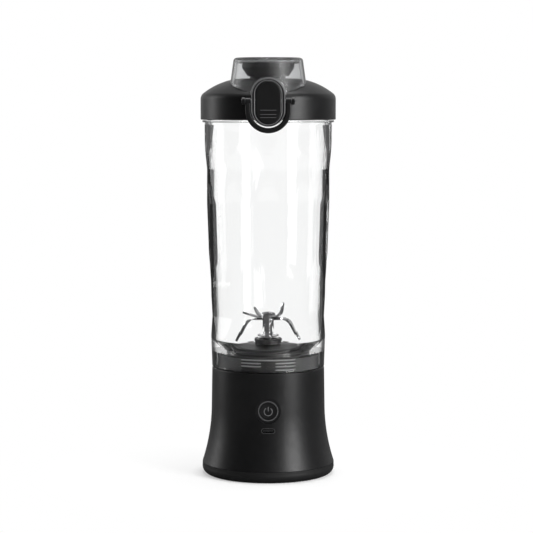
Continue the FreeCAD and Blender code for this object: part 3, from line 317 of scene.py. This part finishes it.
def solid_finish(name, first, second, gloss_range, grain, grain_depth, metallic=0.0,
                 stretch=EVEN, **sockets):
    """An opaque finish: two tones in soft patches, uneven gloss and a fine surface grain.
    gloss_range holds two roughnesses; grain counts features for each metre."""
    material, tree, shader = new_material(name)
    patches = ramp(tree, noise(tree, PATCH_SCALE), 0.0, 1.0)
    tree.links.new(blend_colors(tree, patches, first, second), shader.inputs["Base Color"])
    streaks = noise(tree, PATCH_SCALE * GLOSS_SCALE, GLOSS_DETAIL, GLOSS_ROUGHNESS, stretch)
    tree.links.new(ramp(tree, streaks, *gloss_range), shader.inputs["Roughness"])
    bump(tree, shader, noise(tree, grain, GRAIN_DETAIL, stretch=stretch), grain_depth)
    shader.inputs["Metallic"].default_value = metallic
    set_sockets(shader, sockets)
    return material


def entering_outside(tree):
    """1 where a ray meets the outer face of a hollow round piece from outside, and else 0."""
    coordinates = tree.nodes.new("ShaderNodeTexCoord")
    geometry = tree.nodes.new("ShaderNodeNewGeometry")
    across = tree.nodes.new("ShaderNodeVectorMath")
    across.operation = "MULTIPLY"
    across.inputs[1].default_value = (1, 1, 0)
    tree.links.new(coordinates.outputs["Object"], across.inputs[0])
    outward = tree.nodes.new("ShaderNodeVectorMath")
    outward.operation = "DOT_PRODUCT"
    tree.links.new(across.outputs["Vector"], outward.inputs[0])
    tree.links.new(geometry.outputs["True Normal"], outward.inputs[1])
    outer = math_node(tree, "GREATER_THAN", outward.outputs["Value"], 0.0)
    front = math_node(tree, "SUBTRACT", 1.0, geometry.outputs["Backfacing"])
    return math_node(tree, "MULTIPLY", outer, front)


def clear_finish(name, first, second, edge, turn, haze_range, frosted_below=None, **sockets):
    """A clear moulded plastic with faint flow tones and haze; a grazing view into its outer face
    turns it to a painted edge shade, which starts sooner where it is frosted. frosted_below is a
    level and the roughness of what lies under it."""
    material, tree, shader = new_material(name)
    flow = noise(tree, FLOW_SCALE, FLOW_DETAIL, stretch=DRAWN_UP)
    body_tone = blend_colors(tree, ramp(tree, flow, 0.0, 1.0), first, second)
    weight = tree.nodes.new("ShaderNodeLayerWeight")
    weight.inputs["Blend"].default_value = 0.5     # makes Facing one minus the cosine
    facing = weight.outputs["Facing"]
    haze = ramp(tree, noise(tree, HAZE_SCALE), *haze_range)
    if frosted_below:
        coordinates = tree.nodes.new("ShaderNodeTexCoord")
        split = tree.nodes.new("ShaderNodeSeparateXYZ")
        tree.links.new(coordinates.outputs["Object"], split.inputs["Vector"])
        level, frost = frosted_below
        low_frost = scaled(tree, split.outputs["Z"], level - FROST_FADE, level, 1.0, 0.0)
        haze = math_node(tree, "MAXIMUM", haze, math_node(tree, "MULTIPLY", low_frost, frost))
        sooner = math_node(tree, "MULTIPLY", low_frost, FROST_SHADE_LEAD)
        facing = math_node(tree, "ADD", facing, sooner)
    grazing = smooth(tree, facing, (*turn, 0.0, 1.0))
    # the painted edge shade goes only where a ray enters an outer face from outside
    share = math_node(tree, "MULTIPLY", grazing, entering_outside(tree))
    tree.links.new(blend_colors(tree, share, body_tone, edge), shader.inputs["Base Color"])
    tree.links.new(haze, shader.inputs["Roughness"])
    shader.inputs["Transmission Weight"].default_value = 1.0
    shader.inputs["IOR"].default_value = CLEAR_IOR
    set_sockets(shader, sockets)
    return material


# ================================================================ finishes
def make_finishes():
    """A material for each slot of the record, then those of pieces that differ from their slot."""
    return {
        "black_plastic": solid_finish(
            "satin_black_plastic", (0.0035, 0.0035, 0.0038), (0.0050, 0.0050, 0.0054),
            (0.36, 0.42), 2600.0, 0.012 * MM, Specular_IOR_Level=0.34),
        "dark_plastic": solid_finish(
            "dark_grey_plastic", (0.016, 0.016, 0.017), (0.021, 0.021, 0.022),
            (0.30, 0.38), 2200.0, 0.012 * MM),
        "black_rubber": solid_finish(
            "black_rubber", (0.005, 0.005, 0.0053), (0.0075, 0.0075, 0.0078),
            (0.50, 0.60), 3200.0, 0.02 * MM, Specular_IOR_Level=0.35),
        "silicone": solid_finish(
            "dark_silicone", (0.022, 0.022, 0.023), (0.029, 0.029, 0.030),
            (0.42, 0.52), 1500.0, 0.01 * MM),
        "steel": solid_finish(
            "bright_steel", (0.60, 0.60, 0.61), (0.70, 0.70, 0.71),
            (0.06, 0.14), 1800.0, 0.002 * MM, 1.0, TURNED),
        "zinc_steel": solid_finish(
            "zinc_plated_steel", (0.46, 0.48, 0.50), (0.58, 0.59, 0.60),
            (0.28, 0.40), 900.0, 0.006 * MM, 1.0),
        "blade_steel": solid_finish(
            "polished_blade_steel", (0.62, 0.62, 0.63), (0.70, 0.70, 0.71),
            (0.10, 0.18), 2400.0, 0.002 * MM, 1.0, GROUND_ALONG),
        "magnet": solid_finish(
            "ferrite", (0.045, 0.045, 0.048), (0.07, 0.07, 0.073),
            (0.45, 0.6), 900.0, 0.02 * MM),
        "lamination": solid_finish(
            "steel_laminations", (0.16, 0.16, 0.165), (0.30, 0.30, 0.31),
            (0.3, 0.45), 1200.0, 0.03 * MM, 0.9, LAYERED),
        "copper": solid_finish(
            "enamelled_copper", (0.56, 0.20, 0.09), (0.70, 0.30, 0.14),
            (0.2, 0.35), 1600.0, 0.03 * MM, 0.9, WOUND),
        "cell_wrap": solid_finish(
            "cell_wrap", (0.03, 0.20, 0.17), (0.04, 0.24, 0.20),
            (0.2, 0.3), 700.0, 0.01 * MM),
        "foam": solid_finish(
            "closed_cell_foam", (0.035, 0.035, 0.035), (0.06, 0.06, 0.06),
            (0.8, 0.95), 2500.0, 0.15 * MM),
        "board": solid_finish(
            "circuit_board", (0.006, 0.07, 0.025), (0.01, 0.10, 0.035),
            (0.25, 0.35), 1400.0, 0.01 * MM),
        "switch_plastic": solid_finish(
            "switch_plastic", (0.03, 0.03, 0.03), (0.045, 0.045, 0.045),
            (0.35, 0.45), 1500.0, 0.01 * MM),
        "light_pipe": solid_finish(
            "frosted_light_ring", (0.060, 0.060, 0.062), (0.075, 0.075, 0.077),
            (0.35, 0.45), 1500.0, 0.005 * MM),
        # the third colour of each clear finish is its painted edge shade, the darkening at a slant
        "clear_plastic": clear_finish(
            "clear_cup", (0.99, 0.992, 0.991), (0.98, 0.983, 0.982), (0.018, 0.018, 0.0185),
            CUP_TURN, (0.0, 0.01), (cup_low.z + COLLAR_TOP, COLLAR_FROST),
            Coat_Weight=0.3, Coat_Roughness=0.03),
        "smoke_plastic": clear_finish(
            "smoke_cap", (0.74, 0.745, 0.75), (0.70, 0.705, 0.71), (0.025, 0.025, 0.026),
            CAP_TURN, (0.0, 0.02), Coat_Weight=0.85, Coat_Roughness=0.5),
        "dark_pin": solid_finish(
            "blackened_pin", (0.10, 0.10, 0.103), (0.14, 0.14, 0.143),
            (0.28, 0.36), 1200.0, 0.004 * MM, 0.9),
        "port_nickel": solid_finish(
            "dull_nickel", (0.30, 0.30, 0.305), (0.36, 0.36, 0.365),
            (0.20, 0.28), 1200.0, 0.004 * MM, 1.0),
        "pale_mark": solid_finish(
            "pale_standby_mark", (0.105, 0.105, 0.107), (0.125, 0.125, 0.127),
            (0.35, 0.45), 1500.0, 0.005 * MM),
        # the two neck finishes paint light onto the black neck inside the frosted collar
        "neck_side_painted_light": solid_finish(
            "black_neck_side_painted_light", (0.045, 0.045, 0.046), (0.055, 0.055, 0.056),
            (0.50, 0.58), 2600.0, 0.012 * MM),
        "neck_middle_painted_light": solid_finish(
            "black_neck_middle_painted_light", (0.014, 0.014, 0.0143), (0.019, 0.019, 0.0193),
            (0.50, 0.58), 2600.0, 0.012 * MM),
        # painted highlight on the neck's lugs
        "lug_painted_highlight": solid_finish(
            "black_lug_painted_highlight", (0.20, 0.20, 0.203), (0.26, 0.26, 0.263),
            (0.34, 0.44), 1800.0, 0.004 * MM),
        # painted highlight lines along the latch's edges and the ribs' crests
        "latch_painted_highlight": solid_finish(
            "black_latch_painted_highlight", (0.13, 0.13, 0.135), (0.17, 0.17, 0.175),
            (0.18, 0.28), 1800.0, 0.004 * MM),
        # painted shade line along the cap's top edge
        "smoke_painted_shade_line": solid_finish(
            "smoke_cap_painted_shade_line", (0.004, 0.004, 0.0043), (0.006, 0.006, 0.0063),
            (0.3, 0.4), 1800.0, 0.002 * MM),
        # painted highlight band under the cap's top
        "smoke_band_painted_highlight": solid_finish(
            "smoke_cap_band_painted_highlight", (0.26, 0.26, 0.262), (0.36, 0.36, 0.362),
            (0.10, 0.20), 1800.0, 0.002 * MM, Transmission_Weight=0.35),
        # painted highlight along the cap's arch
        "smoke_arch_painted_highlight": solid_finish(
            "smoke_cap_arch_painted_highlight", (0.30, 0.30, 0.305), (0.36, 0.36, 0.365),
            (0.10, 0.16), 1800.0, 0.002 * MM, Transmission_Weight=0.35),
        # painted light along the cup flange's edge
        "clear_rim_painted_light": solid_finish(
            "clear_cup_rim_painted_light", (0.40, 0.40, 0.405), (0.46, 0.46, 0.465),
            (0.06, 0.12), 1800.0, 0.002 * MM, Transmission_Weight=0.5),
    }


finishes = make_finishes()


def give(obj, finish):
    """Gives a piece one finish in place of what it had."""
    obj.data.materials.clear()
    obj.data.materials.append(finishes[finish])


def dress_nodes():
    """Gives each solid its slot's finish, apart from two that are darker than plain steel."""
    slot_of = {part["node"]: part["material_slot"] for part in frame["record"]["subparts"]}
    own_finish = {"cross_pin": "dark_pin", "usb_c_port": "port_nickel"}
    for node, obj in frame["nodes"].items():
        give(obj, own_finish.get(node, slot_of[node]))


# ================================================================ mesh helpers
def linked(name, data):
    """A new object in the scene."""
    obj = bpy.data.objects.new(name, data)
    bpy.context.scene.collection.objects.link(obj)
    return obj


def mesh_object(name, vertices, faces, slot_name, body, finish=None):
    """A piece that rides on a body, in its slot's finish unless another is named."""
    mesh = bpy.data.meshes.new(name)
    mesh.from_pydata([tuple(v) for v in vertices], [], faces)
    mesh.validate()
    work = bmesh.new()
    work.from_mesh(mesh)
    bmesh.ops.remove_doubles(work, verts=work.verts, dist=WELD)
    bmesh.ops.recalc_face_normals(work, faces=work.faces)
    work.to_mesh(mesh)
    work.free()
    obj = linked(name, mesh)
    give(obj, finish or slot_name)
    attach(obj, body)


def strip(sections, closed_run=False):
    """Faces that join equal closed sections one after another, with caps when the run is open."""
    count = len(sections[0])
    vertices = [point for section in sections for point in section]
    faces = []
    last = len(sections) if closed_run else len(sections) - 1
    for row in range(last):
        here = row * count
        there = ((row + 1) % len(sections)) * count
        for index in range(count):
            following = (index + 1) % count
            faces.append((here + index, here + following, there + following, there + index))
    if not closed_run:
        faces.append(tuple(range(count))[::-1])
        faces.append(tuple(range(len(vertices) - count, len(vertices))))
    return vertices, faces


def arc(across, up, radius, start, sweep, steps):
    """Points in a plane on an arc round the middle (across, up), with both its ends."""
    points = []
    for step in range(steps + 1):
        angle = start + sweep * step / steps
        points.append((across + radius * math.cos(angle), up + radius * math.sin(angle)))
    return points


# ================================================================ base housing
def wall_radius(z):
    """Radius of the housing's outside at a height, measured where it is plain, at the back."""
    start = Vector((0, 2 * neck_high.y, z))
    found, place, _, _ = frame["nodes"]["base_housing"].ray_cast(start, Vector((0, -1, 0)))
    return place.y if found else 0.0


def over_post(place):
    """Whether a place on the front wall lies over one of the board's posts."""
    flat = Vector((place.x, place.z))
    return place.y < 0 and any((flat - post).length < POST_REACH for post in POSTS)


def even_wall(mesh):
    """Moves what the posts leave proud of the front wall back onto it, normals included."""
    normals = [corner.vector.copy() for corner in mesh.corner_normals]
    for vertex in mesh.vertices:
        if over_post(vertex.co):
            reach = math.hypot(vertex.co.x, vertex.co.y)
            wall = wall_radius(vertex.co.z)
            if wall < reach < wall + POST_PROUD:
                vertex.co.x *= wall / reach
                vertex.co.y *= wall / reach
    for polygon in mesh.polygons:
        middle = polygon.center
        if not over_post(middle):
            continue
        if abs(math.hypot(middle.x, middle.y) - wall_radius(middle.z)) >= POST_PROUD:
            continue
        for corner in polygon.loop_indices:
            place = mesh.vertices[mesh.loops[corner].vertex_index].co
            rise = wall_radius(place.z + WALL_STEP) - wall_radius(place.z - WALL_STEP)
            across = Vector((place.x, place.y, 0)).normalized()
            slope = rise / (2 * WALL_STEP)
            normals[corner] = Vector((across.x, across.y, -slope)).normalized()
    mesh.normals_split_custom_set(normals)


def paint_neck_light(mesh):
    """Paints light onto the neck inside the cup's collar: a matt tone lighter than the housing's,
    most at the sides and less in the middle, where its ridges are.
    """
    tones = ("black_plastic", "neck_side_painted_light", "neck_middle_painted_light")
    for tone in tones[1:]:
        mesh.materials.append(finishes[tone])
    neck_foot = neck_high.z - NECK_HEIGHT + NECK_MARGIN
    lugs_half = NECK_RADIUS * math.sin(LUG_SPAN / 2)
    for polygon in mesh.polygons:
        middle = polygon.center
        reach = math.hypot(middle.x, middle.y)
        tone = "black_plastic"
        if middle.z > neck_foot and reach > NECK_RADIUS - NECK_MARGIN:
            tone = "neck_middle_painted_light" if abs(middle.x) < lugs_half else "neck_side_painted_light"
        polygon.material_index = tones.index(tone)


def housing():
    """The housing with an even front wall and a toned neck."""
    mesh = frame["nodes"]["base_housing"].data.copy()
    even_wall(mesh)
    obj = linked("housing", mesh)
    give(obj, "black_plastic")
    paint_neck_light(mesh)
    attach(obj, "base")
    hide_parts("base_housing")


# ================================================================ lower blade
def pitched_blade():
    """The lower blade with its arms pitched like a propeller's, from where they leave the hub."""
    node = frame["nodes"]["lower_blade"]
    low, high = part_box("lower_blade")
    mesh = node.data.copy()
    spin = Matrix.Rotation(BLADE_TURN, 3, "Z")
    back = spin.inverted()

    def top(reach):
        start = spin @ Vector((reach, 0, high.z + PROBE_RISE))
        found, place, _, _ = node.ray_cast(start, Vector((0, 0, -1)))
        return place.z if found else low.z

    for vertex in mesh.vertices:
        place = back @ vertex.co
        share = min(1.0, (abs(place.x) - PITCH_START) / (PITCH_FULL - PITCH_START))
        if share > 0:
            middle = max(-PITCH_LAST, min(PITCH_LAST, place.x))
            slope = (top(middle + PITCH_STEP) - top(middle - PITCH_STEP)) / (2 * PITCH_STEP)
            side = math.copysign(share * math.tan(PITCH), place.x)
            vertex.co = spin @ (place + Vector((-slope, 0, 1)).normalized() * side * place.y)
    obj = linked("pitched_lower_blade", mesh)
    give(obj, "blade_steel")
    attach(obj, "blade_rotor")
    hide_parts("lower_blade")


# ================================================================ ridges and threads
def thread(name, radius, height, width, low, start, sweep, lead, slot_name, body, finish=None):
    """A raised thread round Z with a rounded crest that fades out at both ends."""
    steps = math.ceil(abs(sweep) / THREAD_STEP)
    sections = []
    for step in range(steps + 1):
        share = step / steps
        angle = start + sweep * share
        fade = min(1.0, share / THREAD_FADE, (1 - share) / THREAD_FADE)
        crest = max(height * math.sin(fade * math.pi / 2), THREAD_LEAST)
        z = low + lead * sweep * share / (2 * math.pi)
        profile = (
            (-THREAD_FOOT, -THREAD_SINK), (-THREAD_CREST, crest), (0.0, crest * THREAD_CROWN),
            (THREAD_CREST, crest), (THREAD_FOOT, -THREAD_SINK),
        )
        section = []
        for offset, rise in profile:
            reach = radius + rise
            section.append(Vector(
                (reach * math.cos(angle), reach * math.sin(angle), z + offset * width)))
        sections.append(section)
    vertices, faces = strip(sections)
    mesh_object(name, vertices, faces, slot_name, body, finish)


def neck_lugs():
    """Short level ridges inside the collar, front and back, in a lighter tone that paints their
    highlights; a notch parts the middle ones.
    """
    outer = LUG_SPAN / 2
    notch = LUG_NOTCH / 2
    spans = {
        "whole": ((-outer, outer),),
        "parted": ((-outer, -notch), (notch, outer)),
        "right": ((notch, outer),),
    }
    for side, middle in (("front", -math.pi / 2), ("back", math.pi / 2)):
        for row, (drop, parts) in enumerate(LUG_ROWS, 1):
            for part, (start, end) in enumerate(spans[parts], 1):
                thread(f"neck_lug_{side}_{row}_{part}", NECK_RADIUS, LUG_HEIGHT, LUG_WIDTH,
                       neck_high.z - drop, middle + start, end - start, 0.0,
                       "black_plastic", "base", "lug_painted_highlight")


def cup_threads():
    """The two starts of the screw thread at the cup's top, under the lid."""
    for index, start in enumerate(CUP_THREAD_STARTS, 1):
        thread(f"cup_thread_{index}", CUP_NECK_RADIUS, CUP_THREAD_HEIGHT, CUP_THREAD_WIDTH,
               cup_high.z - CUP_THREAD_DROP, start, CUP_THREAD_SWEEP, CUP_THREAD_LEAD,
               "clear_plastic", "cup")


# ================================================================ beads along edges
def bead(name, path, radius, slot_name, body, finish, closed=False):
    """A thin round bead along a path of points."""
    count = len(path)
    sections = []
    for index, point in enumerate(path):
        before = path[index - 1] if closed or index else point
        after = path[(index + 1) % count] if closed or index < count - 1 else point
        along = (after - before).normalized()
        side = along.cross(Vector((0, 1, 0)))
        if side.length < BEAD_PARALLEL:
            side = along.cross(Vector((0, 0, 1)))
        side.normalize()
        up = side.cross(along)
        section = []
        for turn in range(BEAD_SIDES):
            angle = 2 * math.pi * turn / BEAD_SIDES
            section.append(point + (side * math.cos(angle) + up * math.sin(angle)) * radius)
        sections.append(section)
    vertices, faces = strip(sections, closed_run=closed)
    mesh_object(name, vertices, faces, slot_name, body, finish)


def stadium(half_width, low, high, y):
    """Points round an upright stadium that faces the front, at a depth y."""
    outline = arc(0.0, high - half_width, half_width, 0.0, math.pi, ARC_STEPS)
    outline += arc(0.0, low + half_width, half_width, math.pi, math.pi, ARC_STEPS)
    return [Vector((x, y, z)) for x, z in outline]


def latch_lines():
    """Lighter beads that paint highlight lines on the lip of the tower's recess, the tower's outer
    edge and the ribs' crests.
    """
    front = release_low.y + RELEASE_OUT
    lip = stadium(release_high.x + RELEASE_GAP + EDGE_BEAD,
                  release_low.z - RELEASE_GAP - EDGE_BEAD,
                  release_high.z + RELEASE_GAP + EDGE_BEAD, front)
    bead("recess_lip", lip, EDGE_BEAD, "black_plastic", "lid", "latch_painted_highlight", closed=True)
    inset = TOWER_BEVEL / 2
    rim = stadium(TOWER_WIDTH / 2 - inset, release_low.z - RECESS_END + inset,
                  TOWER_TOP - inset, front + inset)
    bead("tower_rim", rim, EDGE_BEAD, "black_plastic", "lid", "latch_painted_highlight", closed=True)
    for index, rise in enumerate(RIB_RISES, 1):
        level = release_low.z + rise + RIB_HALF_WIDTH
        path = [Vector((share * RIB_HALF_LENGTH, release_low.y + EDGE_BEAD, level))
                for share in (-RIB_COVER, 0.0, RIB_COVER)]
        bead(f"rib_crest_{index}", path, EDGE_BEAD, "black_plastic", "release_button",
             "latch_painted_highlight")


def arch_line():
    """A lighter bead that paints the highlight along the flip cap's edge round its arch, on the
    cap's tapered front.
    """
    half = TOWER_WIDTH / 2 + CAP_GAP + EDGE_BEAD
    top = TOWER_TOP + CAP_GAP + EDGE_BEAD
    middle_y = cap_low.y + cap_high.x
    outline = arc(0.0, top - half, half, 0.0, math.pi, ARC_STEPS)
    path = []
    for x, z in [(half, ARCH_FOOT), *outline, (-half, ARCH_FOOT)]:
        radius = CAP_TOP_RADIUS + CAP_TAPER * (cap_high.z - z) + CAP_BEAD_RISE
        path.append(Vector((x, middle_y - math.sqrt(radius ** 2 - x ** 2), z)))
    bead("arch_painted_highlight", path, EDGE_BEAD, "smoke_plastic", "flip_cap", "smoke_arch_painted_highlight")


def cap_line(name, inset, drop, radius, finish):
    """A line right round under the cap's top: inset from its outline and drop below its top."""
    middle_y = cap_low.y + cap_high.x
    reach = CAP_TOP_RADIUS + CAP_TAPER * drop - inset
    outline = arc(0.0, 0.0, reach, 0.0, math.pi, CAP_STEPS)
    outline += arc(0.0, middle_y, reach, math.pi, math.pi, CAP_STEPS)
    path = [Vector((x, y, cap_high.z - drop)) for x, y in outline]
    bead(name, path, radius, "smoke_plastic", "flip_cap", finish, closed=True)


def rim_line():
    """A grey, half-clear bead that paints the light on the edge of the cup's flange under the lid.
    """
    outline = arc(0.0, 0.0, cup_high.x - EDGE_BEAD, 0.0, 2 * math.pi, RING_STEPS)[:-1]
    path = [Vector((x, y, FLANGE_BOTTOM + EDGE_BEAD)) for x, y in outline]
    bead("rim_painted_light", path, EDGE_BEAD, "clear_plastic", "cup", "clear_rim_painted_light", closed=True)


# ================================================================ standby mark
def dish_face_y(offset):
    """Y of the button's dished face at a distance from its axis."""
    depth = BUTTON_DISH_RADIUS - math.sqrt(BUTTON_DISH_RADIUS ** 2 - offset ** 2)
    return button_low.y + max(BUTTON_DISH - depth, 0.0)


def mark_strip(name, centre_line):
    """A slim raised strip on the button's face along points (x, z) from the mark's middle."""
    middle_z = (button_low.z + button_high.z) / 2 - SYMBOL_DROP
    half = SYMBOL_WIDTH / 2
    out = Vector((0, -SYMBOL_HEIGHT, 0))
    sink = Vector((0, SYMBOL_HEIGHT, 0))
    sections = []
    for index, (x, z) in enumerate(centre_line):
        before = centre_line[max(index - 1, 0)]
        after = centre_line[min(index + 1, len(centre_line) - 1)]
        along = Vector((after[0] - before[0], 0, after[1] - before[1])).normalized()
        side = Vector((along.z, 0, -along.x)) * half
        base = Vector((x, dish_face_y(math.hypot(x, z - SYMBOL_DROP)), z + middle_z))
        shoulder = out * SYMBOL_SHOULDER
        flat = side * SYMBOL_FLAT
        sections.append((
            base - side + sink, base - side + shoulder, base - flat + out,
            base + flat + out, base + side + shoulder, base + side + sink,
        ))
    vertices, faces = strip(sections)
    mesh_object(name, vertices, faces, "light_pipe", "power_button", "pale_mark")


def standby_mark():
    """The generic standby symbol on the power button."""
    ring = arc(0.0, 0.0, SYMBOL_RADIUS, math.pi / 2 + SYMBOL_GAP / 2,
               2 * math.pi - SYMBOL_GAP, SYMBOL_STEPS)
    mark_strip("standby_ring", ring)
    mark_strip("standby_bar", [(0.0, z) for z in SYMBOL_BAR])


# ================================================================ stage
def floor():
    """A pale floor: to the camera mostly plain white, with a soft shade and a darker contact round
    the foot, partly the lit floor's own shadow and partly painted shade where the white share
    fades near the middle; in reflections a mid grey."""
    mesh = bpy.data.meshes.new("floor")
    half = FLOOR_HALF
    corners = [(-half, -half, 0), (half, -half, 0), (half, half, 0), (-half, half, 0)]
    mesh.from_pydata(corners, [], [(0, 1, 2, 3)])
    obj = linked("floor", mesh)
    material = bpy.data.materials.new("pale_floor")
    tree, output = cleared(material, "ShaderNodeOutputMaterial")
    plain = tree.nodes.new("ShaderNodeBsdfDiffuse")
    patches = ramp(tree, noise(tree, FLOOR_SCALE), 0.0, 1.0)
    path = tree.nodes.new("ShaderNodeLightPath")
    pale = blend_colors(tree, patches, *FLOOR_TONES)
    mirrored = scaled(tree, path.outputs["Glossy Depth"], 0.0, 1.0, 0.0, 1.0)
    through = path.outputs["Is Transmission Ray"]
    reflected = blend_colors(tree, through, FLOOR_MIRRORED, FLOOR_MIRRORED_CLEAR)
    shown = blend_colors(tree, mirrored, pale, reflected)
    tree.links.new(shown, plain.inputs["Color"])
    white = tree.nodes.new("ShaderNodeEmission")
    white.inputs["Strength"].default_value = 1.0
    coordinates = tree.nodes.new("ShaderNodeTexCoord")
    length = tree.nodes.new("ShaderNodeVectorMath")
    length.operation = "LENGTH"
    tree.links.new(coordinates.outputs["Object"], length.inputs[0])
    soft_shade = smooth(tree, length.outputs["Value"], SOFT_SHADE)
    contact = smooth(tree, length.outputs["Value"], CONTACT_SHADE)
    fade = math_node(tree, "MULTIPLY", soft_shade, contact)
    seen = math_node(tree, "MAXIMUM", path.outputs["Is Camera Ray"], through)
    direct = math_node(tree, "MULTIPLY", seen, math_node(tree, "SUBTRACT", 1.0, mirrored))
    share = math_node(tree, "MULTIPLY", direct, fade)
    mix = tree.nodes.new("ShaderNodeMixShader")
    tree.links.new(share, mix.inputs["Fac"])
    tree.links.new(plain.outputs["BSDF"], mix.inputs[1])
    tree.links.new(white.outputs["Emission"], mix.inputs[2])
    tree.links.new(mix.outputs["Shader"], output.inputs["Surface"])
    mesh.materials.append(material)


def world():
    """White to the camera and straight through the clear plastics, less so up and down there;
    in reflections dark in front and pale behind and above."""
    studio = bpy.data.worlds.new("studio")
    bpy.context.scene.world = studio
    tree, output = cleared(studio, "ShaderNodeOutputWorld")
    background = tree.nodes.new("ShaderNodeBackground")
    background.inputs["Color"].default_value = (1, 1, 1, 1)
    coordinates = tree.nodes.new("ShaderNodeTexCoord")
    split = tree.nodes.new("ShaderNodeSeparateXYZ")
    tree.links.new(coordinates.outputs["Generated"], split.inputs["Vector"])
    path = tree.nodes.new("ShaderNodeLightPath")
    steep = math_node(tree, "ABSOLUTE", split.outputs["Z"])
    mirrored = scaled(tree, path.outputs["Glossy Depth"], 0.0, 1.0, 0.0, 1.0)
    clear = smooth(tree, steep, WORLD_CLEAR)
    around = smooth(tree, split.outputs["Y"], WORLD_AROUND)
    above = smooth(tree, split.outputs["Z"], WORLD_ABOVE)
    soft = math_node(tree, "MAXIMUM", around, above)
    plain = pick(tree, path.outputs["Is Diffuse Ray"], soft, WORLD_DIFFUSE)
    through = pick(tree, mirrored, clear, soft)
    level = pick(tree, path.outputs["Is Transmission Ray"], plain, through)
    level = pick(tree, path.outputs["Is Camera Ray"], level, 1.0)
    tree.links.new(level, background.inputs["Strength"])
    tree.links.new(background.outputs["Background"], output.inputs["Surface"])


def lamp(name, place, target, width, height, watts):
    """A soft rectangular lamp that isn't seen as a shape straight through the clear plastics."""
    data = bpy.data.lights.new(name, "AREA")
    data.shape = "RECTANGLE"
    data.size = width
    data.size_y = height
    data.energy = watts
    data.use_nodes = True
    tree = data.node_tree
    emission = tree.nodes["Emission"]
    path = tree.nodes.new("ShaderNodeLightPath")
    depth = path.outputs
    bounced = math_node(tree, "MAXIMUM", depth["Glossy Depth"], depth["Diffuse Depth"])
    unbounced = scaled(tree, bounced, 0.0, 1.0, 1.0, 0.0)
    entered = scaled(tree, depth["Transmission Depth"], 0.0, 1.0, 0.0, 1.0)
    straight = math_node(tree, "MULTIPLY", entered, unbounced)
    tree.links.new(pick(tree, straight, 1.0, 0.0), emission.inputs["Strength"])
    obj = linked(name, data)
    obj.location = place
    aim = Vector(target) - Vector(place)
    obj.rotation_euler = aim.to_track_quat("-Z", "Y").to_euler()


def camera():
    """The camera at the photo's viewing angle."""
    data = bpy.data.cameras.new("camera")
    data.lens = CAMERA_LENS
    data.sensor_width = CAMERA_SENSOR
    obj = linked("camera", data)
    obj.location = CAMERA_PLACE
    obj.rotation_euler = (CAMERA_TILT, 0, 0)
    bpy.context.scene.camera = obj


# ================================================================ the scene
dress_nodes()
housing()
pitched_blade()
neck_lugs()
cup_threads()
latch_lines()
arch_line()
# a dark bead that paints the shade line along the rounded edge of the cap's top
cap_line("cap_top_painted_shade", SHADE_INSET, SHADE_DROP, SHADE_RADIUS, "smoke_painted_shade_line")
# a lighter bead that paints the highlight band under the cap's top
cap_line("cap_band_painted_highlight", FILLET_INSET, FILLET_DROP, FILLET_RADIUS, "smoke_band_painted_highlight")
rim_line()
standby_mark()

floor()
world()
for settings in LAMPS:
    lamp(*settings)
camera()
bpy.context.scene.view_settings.view_transform = "Standard"
